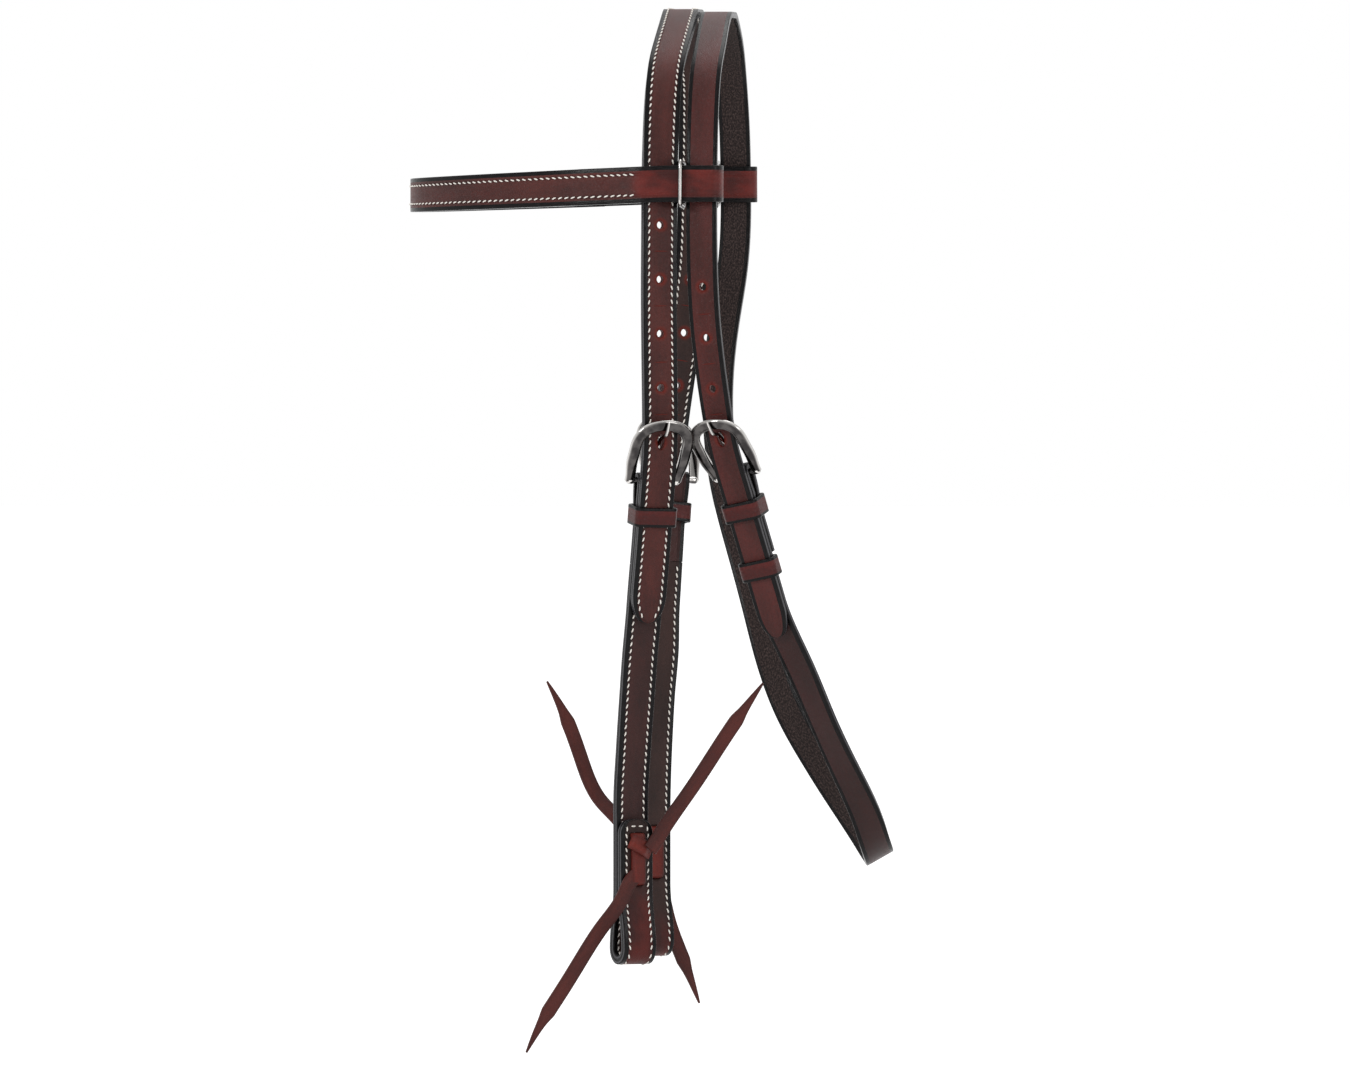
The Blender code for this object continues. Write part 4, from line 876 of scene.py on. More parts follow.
crown_holes = {side: hole_runs(bar_runs[side], -side, HOLE_PITCH, 4) for side in (-1, 1)}
all_holes = np.concatenate([crown_holes[-1], crown_holes[1]])
crown_face = strip("crown_face", crown, GAP / 8, GAP / 2 + LAYER, crown_width,
                   [chestnut, burnished_edge, burnished_edge], EDGE_ROUNDS, holes=all_holes)
crown_back = strip("crown_back", crown, -GAP / 2 - LAYER, -GAP / 8, crown_width,
                   [burnished_edge, burnished_edge, lining_leather], LINING_ROUNDS, holes=all_holes)
for side in (-1, 1):
    for layer in (crown_face, crown_back):
        punch_holes(layer, crown, crown_holes[side])
dress(crown_face, "straps", "chestnut_leather", "crown_strap")
dress(crown_back, "straps", "chestnut_leather", "crown_lining")
print("crown faces:", len(crown_face.data.polygons))

# %% Cheeks
flap_width = {side: point_width(STRAP_WIDTH, STRAP_WIDTH * 0.42, cheeks[side].run[-1], 0.30)
              for side in (-1, 1)}
cheek_faces = {}
rest = (GAP + LAYER) / 2
UPPER_SLOT = -HEAD_LENGTH + FLAP_LENGTH - SLOT_DROP


def lace_slots(piece, side):
    """The two slots through the flap and the strap that the lace passes."""
    base, across, outward = bit_frame(side)
    places = [(base + UP * (UPPER_SLOT - drop), across, UP, outward)
              for drop in (0.0, SLOT_SPACING)]
    punch(piece, punch_mesh(places, LACE_THICK / 2 + GAP, LACE_WIDTH / 2 + GAP, 3 * DOUBLED, 3.0))


loop_bottom = cheeks[-1].run[cheeks[-1].points[:, 2].argmin()]
loop_face = two_tone("Bit loop leather", lining_leather, middle=loop_bottom + 0.012, half=0.030,
                     soft=0.016, ends=(1.0, 0.0), border=0.0, dim=0.42)[0]
for side, side_name in SIDES:
    cheek = cheeks[side]
    face_line = wrapped(cheek, rest, rest, LAYER, TURN_BACK)
    end_width = point_width(STRAP_WIDTH, STRAP_WIDTH * 0.42, face_line.run[-1], 0.30)
    face = strip(side_name + "_cheek_face", face_line, -LAYER / 2 - GAP / 3, LAYER / 2, end_width,
                 [dark_chestnut, burnished_edge, burnished_edge], EDGE_ROUNDS)
    back = strip(side_name + "_cheek_back", cheek, -GAP / 2 - LAYER, -GAP / 8, flap_width[side],
                 [burnished_edge, burnished_edge, loop_face], LINING_ROUNDS, TURN_BACK + GAP)
    for layer in (face, back):
        lace_slots(layer, side)
    dress(face, "straps", "chestnut_leather", side_name + "_cheek_strap")
    dress(back, "straps", "chestnut_leather", side_name + "_cheek_lining")
    cheek_faces[side] = (face, face_line, end_width)


# %% [markdown]
# ## Stitching
#
# Each stitch is a short bead of waxed thread that rises from one hole and sinks into the
# next. A few dozen faces are enough for one, and numpy copies the bead along every row. The
# rows keep their distance from the edge, so they follow the pointed tips and rounded flaps.

# %% Stitches
STITCH_PITCH = 0.00375
THREAD = 0.00084
BEAD_SHARE = 0.72
AHEAD = 0.0005
STITCH_SLANT = 0.32
LEAST_BESIDE = 0.0006


def bead(around=6, along=5):
    """Unit stitch: x = s - 0.5, a circle of radius 0.5 sqrt(1 - (2s - 1)^4), and the line
    lifted by 0.55 sin(pi s) - 0.15."""
    s = np.linspace(0.04, 0.96, along)
    turn = np.linspace(0.0, math.tau, around, endpoint=False)
    radius = 0.5 * np.sqrt(1.0 - (2.0 * s - 1.0) ** 4)
    lift = 0.55 * np.sin(np.pi * s) - 0.15
    x = np.broadcast_to((s - 0.5)[:, None], (along, around))
    y = radius[:, None] * np.cos(turn)
    z = radius[:, None] * np.sin(turn) + lift[:, None]
    points = np.stack([x, y, z], axis=-1)
    i, j = np.meshgrid(np.arange(along - 1), np.arange(around), indexing="ij")
    k = (j + 1) % around
    here, there = i * around, (i + 1) * around
    quads = np.stack([here + j, there + j, there + k, here + k], axis=-1)
    return points.reshape(-1, 3), quads.reshape(-1, 4), around


def stitches(name, rows, body):
    """Beads on rows of (centre, direction, sideways, outward) arrays."""
    shape, quads, around = bead()
    centre, along, side, out = [np.concatenate([row[i] for row in rows]) for i in range(4)]
    lengths = STITCH_PITCH * BEAD_SHARE * shape[:, 0]
    points = (centre[:, None] + along[:, None] * lengths[:, None]
              + side[:, None] * (THREAD * shape[:, 1:2]) + out[:, None] * (THREAD * 0.8 * shape[:, 2:3]))
    count = len(centre)
    each = len(shape)
    faces = (quads[None] + (np.arange(count) * each)[:, None, None]).reshape(-1, 4).tolist()
    ends = np.arange(count)[:, None] * each
    first = (ends + np.arange(around)[::-1]).tolist()
    last = (ends + each - around + np.arange(around)).tolist()
    mesh = bpy.data.meshes.new(name)
    mesh.from_pydata(points.reshape(-1, 3).tolist(), [], faces + first + last)
    run = np.broadcast_to(lengths + 0.5 * STITCH_PITCH, (count, each))
    turn = np.tile(np.arange(around) / around, len(shape) // around)
    write_uv(mesh, "Along", paired(run, turn))
    mesh.materials.append(thread)
    tidy(mesh, sharp_from=80.0)
    dress(placed(name, mesh), body, "chestnut_leather")
    return count


def row(route, width, height, side, first, last, inset=ROW_INSET):
    """One row's beads: middle = route + across * side (half width - inset) + out * height,
    each turned a little across the row, as a saddler's awl leaves them."""
    runs = np.arange(first, last, STITCH_PITCH)
    beside = width(runs) / 2 - inset
    wide = beside > LEAST_BESIDE
    runs, beside = runs[wide], beside[wide]
    points, across, _, out = route.at(runs)
    ahead = route.at(runs + AHEAD)
    there = width(runs + AHEAD) / 2 - inset
    here = points + across * (side * beside)[:, None]
    step = ahead[0] + ahead[1] * (side * there)[:, None] - here
    along = unit(step + across * (STITCH_SLANT * AHEAD * side))
    out = out * np.sign(height)
    sideways = np.cross(out, along)
    return here + out * abs(height), along, sideways, out


def round_row(route, run, height, reach):
    """A short row across a rounded end: beads side by side from -reach to reach."""
    count = max(int(2 * reach / STITCH_PITCH), 2)
    places = np.linspace(-reach, reach, count)
    points, across, tangent, out = route.at(np.full(count, run))
    bow = 1.0 - (places / (reach * 1.6)) ** 2
    here = points + across * places[:, None] + tangent * ((bow - 1.0) * 0.002)[:, None]
    out = out * np.sign(height)
    return here + out * abs(height), across, np.cross(out, across), out


TIP_CLEAR = (0.003, 0.002)
FLAP_CLEAR = 0.0024
FACE_ROW_START = TURN_BACK + 0.012
BACK_ROW_START = TURN_BACK + 0.004
ROUND_ROW_REACH = 0.0022
top = GAP / 2 + LAYER
crown_rows = [row(crown, crown_width, height, side, TIP_CLEAR[0], crown.run[-1] - TIP_CLEAR[1])
              for height in (top, -top) for side in (-1, 1)]
count = stitches("crown_thread", crown_rows, "straps")
for side, side_name in SIDES:
    cheek = cheeks[side]
    face, face_line, end_width = cheek_faces[side]
    rows = [row(face_line, end_width, LAYER / 2, s, FACE_ROW_START, face_line.run[-1] - FLAP_CLEAR)
            for s in (-1, 1)]
    rows += [row(cheek, flap_width[side], -top, s, BACK_ROW_START, cheek.run[-1] - FLAP_CLEAR)
             for s in (-1, 1)]
    rows.append(round_row(cheek, cheek.run[-1] - ROW_INSET, -top, ROUND_ROW_REACH))
    count += stitches(side_name + "_cheek_thread", rows, "straps")
print("stitches on crown and cheeks:", count)

# %% [markdown]
# ## The throatlatch
#
# The throatlatch is one thick layer, grain side out and flesh side in, with no stitching.
# It folds round its own buckle, passes under the throat, and comes back over the poll.

# %% Throatlatch strap
throat_face_line = wrapped(throat_line, 0.0, THROAT_THICK + GAP, THROAT_THICK, TURN_BACK)
beside_bar = throat_line.run[-1] - (throat_billet.run[-1] - throat_start)
throat_holes = hole_runs(beside_bar, 1, THROAT_HOLE_PITCH, 3)
folded = throat_face_line.run[-1] - throat_line.run[-1]
throat_width = point_width(THROAT_WIDTH, TIP_LENGTH, throat_face_line.run[-1])
throat_bottom = throat_face_line.run[throat_face_line.points[:, 2].argmin()]
# painted shade on the throatlatch from the buckle down, under the throat and a little up the far side
throat_face = shaded("Throatlatch leather", plain_chestnut, throat_bottom + 0.10, 0.10, 0.62)
throat_strap = strip("throat_leather", throat_face_line, -THROAT_THICK / 2, THROAT_THICK / 2, throat_width,
                     [throat_face, burnished_edge, flesh_side], (0.00045, 0.00065),
                     holes=throat_holes + folded)
punch_holes(throat_strap, throat_line, throat_holes)
dress(throat_strap, "straps", "chestnut_leather", "throatlatch_strap")
print("throatlatch %.0f mm long" % (throat_face_line.run[-1] * 1e3))

# %% [markdown]
# ## The browband
#
# The browband's face runs on at both ends, folds round the crown strap and the throatlatch,
# and is sewn down behind its own stitched middle. Seen from above it is one line, and the
# strap's width stands upright on it.

# %% Browband line
LOOP_SLACK = 0.0011
BAND = BROW_LAYER


def line_side(side):
    """The throatlatch's upper part on one side of the head."""
    line = throat_line
    chosen = (line.points[:, 2] > -2.0 * BROW_DROP_share * HEAD_LENGTH) & (line.points[:, 1] * side > 0)
    order = np.flatnonzero(chosen)
    if side < 0:
        order = order[order > len(line.points) // 2]
    return Route(line.points[order], line.across[order])


def reach(route, side, width, thick):
    """Lowest and highest X and outward Y that a strap fills beside the browband."""
    point, across, _, out = route.at_one(bar_run(route, side, BROW_DROP_share))
    corners = np.array([point + across * u * width / 2 + out * n * thick / 2
                        for u in (-1, 1) for n in (-1, 1)])
    return (corners[:, 0].min(), corners[:, 0].max(),
            np.abs(corners[:, 1]).min(), np.abs(corners[:, 1]).max())


def loop_box(side):
    one = reach(crown, side, STRAP_WIDTH, DOUBLED)
    two = reach(line_side(side), side, THROAT_WIDTH, THROAT_THICK)
    slack = LOOP_SLACK + BAND / 2
    inner, outer = min(one[2], two[2]) - slack, max(one[3], two[3]) + slack
    return one[0], two[1] + slack, inner, outer, (one[1] + two[0]) / 2


def brow_half(box, side):
    """Plan of one half, from its sewn tab round the straps to the middle of the brow."""
    left, right, inner, outer, _ = box
    front = [(left, outer)] + [(x * BROW_SETBACK, y * HEAD_HALF_WIDTH) for x, y in BROW_shares]
    plan = [(right - 2 * BROW_WIDTH, outer)] + front + [(x, -y) for x, y in front[-2:-5:-1]]
    at, _ = spline([(x, y, 0.0) for x, y in plan])
    knots = run_along(plan)
    swept = at(np.linspace(knots[1], knots[len(front)], 26))[:, :2]
    tangent = unit(np.gradient(swept, axis=0))
    behind = swept + np.stack([-tangent[:, 1], tangent[:, 0]], axis=1) * (BAND + GAP)
    corner = BAND * 2.2
    turns = [(left - corner * 1.6, inner + corner * 0.80), (left - corner * 0.6, inner + corner * 0.12),
             (left + corner * 0.5, inner)]
    straight = np.linspace(left + corner * 2.4, right - corner * 1.4, 4)
    angle = math.pi * (np.linspace(0.0, 1.0, 7) - 0.5)
    arc = np.stack([right - corner + corner * np.cos(angle),
                    (inner + outer) / 2 + (outer - inner) / 2 * np.sin(angle)], axis=1)
    loop = np.concatenate([behind[3:6][::-1], turns, [(x, inner) for x in straight], arc,
                           [(x, outer) for x in straight[::-1]]])
    return loop * (1.0, side), swept * (1.0, side)


def brow_route(boxes):
    """The face's middle line from the near tab to the far one, upright and leaning out."""
    near_loop, near_front = brow_half(boxes[-1], -1)
    far_loop, far_front = brow_half(boxes[1], 1)
    plan = np.concatenate([near_loop, near_front[:-1], far_front[::-1], far_loop[::-1]])
    forward = np.maximum(-plan[:, :1], 0.0) / BROW_SETBACK
    height = -(BROW_DROP_share + BROW_DIP_share * forward) * HEAD_LENGTH
    at, length = spline(np.hstack([plan, height]))
    points = at(stations(at, length, FINE, math.radians(5.0)))
    lean = points[:, 1] / HEAD_HALF_WIDTH * math.sin(BROW_LEAN)
    knots = run_along(plan)
    return (Route(points, np.stack([0.0 * lean, lean, -np.ones_like(lean)], axis=1)), knots[2],
            knots[len(near_loop)])


# %% Browband face, lining and thread
loop_boxes = {side: loop_box(side) for side in (-1, 1)}
brow, tab_run, loop_end = brow_route(loop_boxes)
brow_middle = brow.run[-1] / 2


def brow_width(runs):
    """Slightly narrower over the brow than at the loops."""
    share = np.clip(2.0 * np.abs(np.asarray(runs) - brow_middle) / brow_middle, 0.0, 1.0)
    return BROW_MIDDLE_WIDTH + (BROW_WIDTH - BROW_MIDDLE_WIDTH) * share


def wrinkled(made, tree, shader, off, first, last):
    """Cross wrinkles over a stretch, where the leather was pulled round the straps."""
    along = uv(tree, "Along")[0]
    folds = clouds(tree, along, 0.0042, 0.55, 3.0)
    middle = (first + last) / 2
    rising = add(tree, "MapRange", off, first, middle, **SMOOTH)
    falling = add(tree, "MapRange", off, middle, last, 1.0, 0.0, **SMOOTH)
    folds = add(tree, "Math", folds, add(tree, "Math", rising, falling, **TIMES), **TIMES)
    old = shader.inputs["Normal"].links[0].from_socket
    folded = add(tree, "Bump", Height=folds, Normal=old, Strength=1.0, Distance=0.0011)
    fill(tree, shader, {"Normal": folded})
    return made


BROW_INSET = 0.0042
brow_half_run = brow_middle - loop_end - 0.004
brow_tones = two_tone("Browband leather", chestnut, middle=brow_middle, half=brow_half_run,
                      soft=0.004, ends=(0.0, 1.0), border=0.0022)
brow_leather = wrinkled(*brow_tones, brow_half_run - 0.034, brow_half_run)
brow_face = strip("browband_leather", brow, -BAND / 2, BAND / 2, brow_width,
                  [brow_leather, burnished_edge, lining_leather], (0.0003, 0.0005), inset=BROW_INSET)
dress(brow_face, "browband", "loop_leather", "browband_face")
past = np.linalg.norm(brow.points - brow.points[0], axis=1)
past += HEAD_LENGTH * (brow.run < tab_run + BROW_WIDTH)
lining_start = brow.run[past.argmin()] + 4 * GAP
brow_back = strip("browband_back", brow, -1.5 * BAND - GAP, -BAND / 2 - GAP / 4, brow_width,
                  [burnished_edge, burnished_edge, lining_leather], LINING_ROUNDS,
                  lining_start, brow.run[-1] - lining_start, inset=BROW_INSET)
dress(brow_back, "browband", "chestnut_leather", "browband_lining")
rows = [row(brow, brow_width, height, s, first, brow.run[-1] - first, BROW_INSET)
        for height, first in ((BAND / 2, loop_end + 0.005), (-1.5 * BAND - GAP, lining_start + 0.003))
        for s in (-1, 1)]
print("stitches on the browband:", stitches("browband_thread", rows, "browband"))

# %% [markdown]
# ## Buckles, keepers and dividers
#
# The buckles are cast horseshoes with a domed face and a round bar. Everything here is a
# small section carried round a path, so one function serves: it takes the path, two
# directions square to it, and the section at each station.

# %% Swept section
def carried(name, path, first, second, shape, finish, looped=False, parts=None):
    """Surface p + first a + second b, for the (a, b) section of each station of the path."""
    rings = path[:, None] + first[:, None] * shape[..., 0:1] + second[:, None] * shape[..., 1:2]
    run = np.broadcast_to(run_along(path)[:, None], rings.shape[:2])
    off = np.abs(shape[..., 1])
    edge = off.max() - off
    uvs = {"Along": paired(run, shape[..., 0] + shape[..., 1]), "Edge": paired(edge, run),
           "Seam": paired(run, 1.0), "Holes": paired(1.0, run)}
    return closed_sweep(name, rings, parts, finish, uvs, looped)


def circle(radii, around=14):
    """Round sections, one radius for each station."""
    turn = np.linspace(0.0, math.tau, around, endpoint=False)
    return np.asarray(radii)[:, None, None] * np.stack([np.cos(turn), np.sin(turn)], axis=-1)


def tube(name, path, radii, finish, side, looped=False):
    """Round wire along a path, with its section square to the path and a side direction."""
    around = np.roll(path, -1, axis=0) - np.roll(path, 1, axis=0)
    tangent = unit(around if looped else np.gradient(path, axis=0))
    first = unit(np.cross(np.broadcast_to(side, tangent.shape), tangent))
    return carried(name, path, first, np.cross(tangent, first), circle(radii), finish, looped)


def smooth_path(points, count):
    """The spline through chosen points, at even distances."""
    at, length = spline(points)
    return at(np.linspace(0.0, length, count))


def fused(name, pieces):
    """One piece of several that touch: their meshes are joined, with the first one's materials."""
    mesh = bpy.data.meshes.new(name)
    shape = bmesh.new()
    for piece in pieces:
        shape.from_mesh(piece.data)
    shape.to_mesh(mesh)
    shape.free()
    for finish in pieces[0].data.materials:
        mesh.materials.append(finish)
    for piece in pieces:
        bpy.data.objects.remove(piece, do_unlink=True)
    tidy(mesh)
    return placed(name, mesh)


# %% Buckle places
FRAME_LIMB = 0.0060
FRAME_THICK = 0.0030
FRAME_SLACK = 0.0022
TONGUE = 0.0024
TONGUE_RING = 0.0015


def buckle_place(fold, billet, start, toward_top):
    """The bar's middle, and X across, Y up the billet and Z outward from it."""
    bar, across, _, out = fold.at_one(0.0)
    low, high, hole = [billet.at(start + toward_top * rise)[0][0] for rise in (0.0, FRAME_RISE, HOLE_RISE)]
    up = high - low
    up = unit(up - across * up.dot(across))
    if np.cross(across, up).dot(out) < 0:
        across = -across
    axes = np.stack([across, up, np.cross(across, up)])
    at_hole = axes @ (hole - bar)
    return bar, axes, at_hole[0] / at_hole[1]


def tilted(axes):
    """The axes turned about the bar by the frame's tilt."""
    c, s = math.cos(FRAME_TILT), math.sin(FRAME_TILT)
    return np.stack([axes[0], c * axes[1] + s * axes[2], c * axes[2] - s * axes[1]])


# %% Frames and tongues
def frame_path(half, foot, peak, count=44):
    """A squared arch over two straight limbs, in the frame's plane. The arch is
    x = half |cos t|^0.92 with the cosine's sign, and y = spring + height (sin t)^0.80."""
    spring = peak - half * 0.95
    turn = np.linspace(0.0, math.pi, count)
    c, s = np.cos(turn), np.sin(turn)
    rise = np.linspace(foot, spring, 14)[:-1]
    right = np.stack([np.full(len(rise), half), rise], axis=1)
    over = np.stack([half * np.sign(c) * np.abs(c) ** 0.92, spring + (peak - spring) * s ** 0.80], axis=1)
    return np.concatenate([right, over, right[::-1] * (-1.0, 1.0)])


def horseshoe(name, strap_width, place):
    """Domed limb: (w |cos t|^0.80, h |sin t|^0.72) with the signs of cos t and sin t, for a
    half width w that narrows to the bar's eyes and a height h that is less behind."""
    bar, axes, _ = place
    u, v, n = tilted(axes)
    half = strap_width / 2 + FRAME_SLACK + FRAME_LIMB / 2
    path = frame_path(half, 0.0, FRAME_RISE)
    narrow = 1.0 - blend(path[:, 1], 4 * WIRE)
    limb = WIRE / 2 + (FRAME_LIMB * 1.06 - WIRE) / 2 * (0.65 + 0.35 * narrow)
    path[:, 0] -= np.sign(path[:, 0]) * (FRAME_LIMB - WIRE) / 2 * (1.0 - narrow)
    step = unit(np.gradient(path, axis=0))
    beside = np.stack([step[:, 1], -step[:, 0]], axis=1)
    turn = np.linspace(0.0, math.tau, 20, endpoint=False)
    c, s = np.cos(turn), np.sin(turn)
    depth = np.where(s > 0, 1.12, 0.80) * FRAME_THICK / 2
    width = limb[:, None] * np.sign(c) * np.abs(c) ** 0.8
    height = depth * np.sign(s) * np.abs(s) ** 0.72
    shape = np.stack(np.broadcast_arrays(width, height), axis=-1)
    world = bar + path[:, :1] * u + path[:, 1:] * v
    first = beside[:, :1] * u + beside[:, 1:] * v
    loop = carried(name + "_loop", world, first, np.tile(n, (len(path), 1)), shape, [steel])
    reach_out = strap_width / 2 + FRAME_SLACK + WIRE
    ends = np.linspace(-reach_out, reach_out, 30)
    eye = 1.0 + 0.16 * (np.abs(ends) > reach_out - WIRE)
    eye[[0, -1]] = 0.72
    rod = tube(name + "_bar", bar + ends[:, None] * u, WIRE / 2 * eye, [steel], v)
    return fused(name, [loop, rod])


def tongue_points(offset, billet_thick, lean):
    """Side view of the tongue: under the billet, up through its hole, over the arch."""
    slope, rise = math.cos(FRAME_TILT), math.sin(FRAME_TILT)
    ring = WIRE / 2 + GAP + TONGUE_RING
    back, front = offset - billet_thick / 2, offset + billet_thick / 2
    under = back - 3 * GAP - TONGUE / 2
    clear = GAP + TONGUE / 2
    over = FRAME_RISE * rise + (FRAME_THICK / 2 + clear) / slope
    inside = FRAME_RISE - FRAME_LIMB / 2
    hole_low = HOLE_RISE - HOLE_LENGTH / 2
    side = [(ring - TONGUE_RING / 2, under * 0.25), (ring * 1.8, under * 0.85), (hole_low * 0.75, under),
            (hole_low + TONGUE * 0.35, under), (hole_low + TONGUE * 1.45, back + TONGUE * 0.25),
            (HOLE_RISE + HOLE_LENGTH * 0.18, front + TONGUE * 0.1),
            (inside * slope - FRAME_THICK / 2 * rise - clear * 0.8,
             inside * rise + FRAME_THICK / 2 * slope + clear * 0.6),
            (FRAME_RISE * slope, over),
            (FRAME_RISE * slope + FRAME_LIMB * 0.42 * slope, over + FRAME_LIMB * 0.42 * rise)]
    return [((up - side[0][0]) * lean, up, out) for up, out in side]


def tongue(name, offset, billet_thick, place):
    """A rod with a coiled eye: ring of radius r round the bar, and a tapered point."""
    bar, axes, lean = place
    line = smooth_path(tongue_points(offset, billet_thick, lean), 46)
    share = np.linspace(0.0, 1.0, 46)
    radii = TONGUE / 2 * (1.0 - 0.30 * share ** 3)
    radii[-3:] *= (0.92, 0.75, 0.40)
    rod = tube(name + "_rod", bar + line @ axes, radii, [steel], axes[0])
    turn = np.linspace(0.0, math.tau, 32, endpoint=False)[:, None]
    radius = WIRE / 2 + GAP + TONGUE_RING / 2
    ring = bar + radius * (np.cos(turn) * axes[1] + np.sin(turn) * axes[2])
    outward = np.cos(turn) * axes[1] + np.sin(turn) * axes[2]
    angle = np.linspace(0.0, math.tau, 12, endpoint=False)
    shape = np.stack([TONGUE_RING / 2 * np.cos(angle), TONGUE / 2 * np.sin(angle)], axis=-1)
    shape = np.broadcast_to(shape, (32, 12, 2))
    eye = carried(name + "_eye", ring, outward, np.tile(axes[0], (32, 1)), shape, [steel], True)
    return fused(name, [rod, eye])


def eye_slot(piece, place, thickness):
    """Opens the fold round the bar for the tongue's eye."""
    bar, axes, _ = place
    fold = WIRE / 2 + GAP + thickness + GAP / 2
    ring = WIRE / 2 + 3 * GAP + TONGUE_RING
    centre = bar + axes[1] * (fold - ring) / 2
    punch(piece, punch_mesh([(centre, *axes)], (fold + ring) / 2, TONGUE / 2 + 2 * GAP, fold, 6.0))


buckles = {}
for side, side_name in SIDES:
    place = buckle_place(cheeks[side], crown, bar_runs[side], side)
    buckles[side_name] = place
    eye_slot(cheek_faces[side][0], place, LAYER)
    made = horseshoe(side_name + "_horseshoe", STRAP_WIDTH, place)
    dress(made, side_name + "_cheek_frame", "polished_steel", side_name + "_cheek_buckle_frame")
    made = tongue(side_name + "_tongue", BILLET_OFFSET, DOUBLED, place)
    dress(made, side_name + "_cheek_tongue", "polished_steel", side_name + "_cheek_buckle_tongue")
place = buckle_place(throat_line, throat_billet, throat_start, -1)
eye_slot(throat_strap, place, THROAT_THICK)
made = horseshoe("throat_horseshoe", THROAT_WIDTH, place)
dress(made, "throat_frame", "polished_steel", "throat_buckle_frame")
made = tongue("throat_tongue_steel", THROAT_OFFSET, THROAT_THICK, place)
dress(made, "throat_tongue", "polished_steel", "throat_buckle_tongue")
print("buckle bars at", [np.round(p[0] * 1e3, 1).tolist() for p in buckles.values()])

# %% Keepers
KEEPER_WALL = 0.0018
KEEPER_CORNER = 1.55
KEEPER_SLACK = 0.0006


def rounded_loop(half_x, half_y, radius, each=8, straight=10):
    """Rectangle with quarter circles at its corners, as points and outward normals."""
    places, normals = [], []
    for corner, (cx, cy) in enumerate(((1, 1), (-1, 1), (-1, -1), (1, -1))):
        angle = math.pi / 2 * (corner + np.linspace(0.0, 1.0, each))
        normal = np.stack([np.cos(angle), np.sin(angle)], axis=1)
        places.append(np.array([cx * (half_x - radius), cy * (half_y - radius)]) + radius * normal)
        normals.append(normal)
        nxt = ((-1, 1), (-1, -1), (1, -1), (1, 1))[corner]
        end = np.array([nxt[0] * (half_x - radius), nxt[1] * (half_y - radius)]) + radius * normal[-1]
        share = np.linspace(0.0, 1.0, straight)[1:-1, None]
        places.append(places[-1][-1] + (end - places[-1][-1]) * share)
        normals.append(np.tile(normal[-1], (straight - 2, 1)))
    return np.concatenate(places), np.concatenate(normals)


def band_section(height, wall):
    """A flat bar with rounded corners, face and edges marked as parts 0, 1 and 2."""
    rows = section(-wall / 2, wall / 2, wall * 0.16, wall * 0.34)
    return np.stack([rows[:, 2], rows[:, 0] * height / 2 + rows[:, 1]], axis=1), rows[:, 3].astype(int)


def band(name, centre, axes, halves, radius, height, wall, finish):
    """A closed flat band: a rounded rectangle in the plane of the first two axes, with the
    band's height along the third."""
    path, normal = rounded_loop(*halves, radius)
    shape, parts = band_section(height, wall)
    return carried(name, centre + path[:, :1] * axes[0] + path[:, 1:] * axes[1],
                   normal[:, :1] * axes[0] + normal[:, 1:] * axes[1],
                   np.tile(axes[2], (len(path), 1)), np.tile(shape, (len(path), 1, 1)), finish, True, parts)


def keeper(name, route, run, low, high, strap_width, body, node):
    """A flat band of leather with rounded corners, round the straps between two depths."""
    centre, across, _, out = route.at_one(run)
    middle = centre + out * (low + high) / 2
    half_x = strap_width / 2 + KEEPER_SLACK + KEEPER_WALL / 2
    half_y = (high - low) / 2 + KEEPER_SLACK + KEEPER_WALL / 2
    made = band(name, middle, (across, out, np.cross(across, out)), (half_x, half_y),
                KEEPER_WALL * KEEPER_CORNER, KEEPER_HEIGHT, KEEPER_WALL,
                [loop_leather, burnished_edge, burnished_edge])
    return dress(made, body, "loop_leather", node)


def spread(run, rest_gap, offset):
    """How far the billet's middle stands from the fold's, below the bar."""
    return rest_gap + (offset - rest_gap) * float(blend(run, FOLD_RUN))


KEEPER_RISE = 0.003
highest = KEEPER_DROP - KEEPER_RISE - KEEPER_HEIGHT / 2 - KEEPER_SLACK
fold_half = rest + (WIRE / 2 + GAP + LAYER / 2 - rest) * float(blend(highest, FOLD_RUN)) + LAYER / 2
for side, side_name in SIDES:
    behind = spread(highest, DOUBLED + GAP, BILLET_OFFSET) + fold_half
    keeper(side_name + "_keeper_leather", crown, bar_runs[side] - side * KEEPER_DROP, -behind, DOUBLED / 2,
           STRAP_WIDTH, side_name + "_keeper", side_name + "_cheek_keeper")
resting = THROAT_THICK + GAP
for index, body in enumerate(("throat_keeper_upper", "throat_keeper_lower")):
    drop = KEEPER_DROP + index * KEEPER_PITCH
    behind = spread(drop - KEEPER_HEIGHT / 2 - KEEPER_SLACK, resting, THROAT_OFFSET) + THROAT_THICK / 2
    behind += resting * (index == 0)
    keeper("throat_keeper_leather_" + "ab"[index], throat_billet, throat_start + drop, -behind,
           THROAT_THICK / 2, THROAT_WIDTH, body, "throat_keeper_" + "ab"[index])
print("keepers: 4")

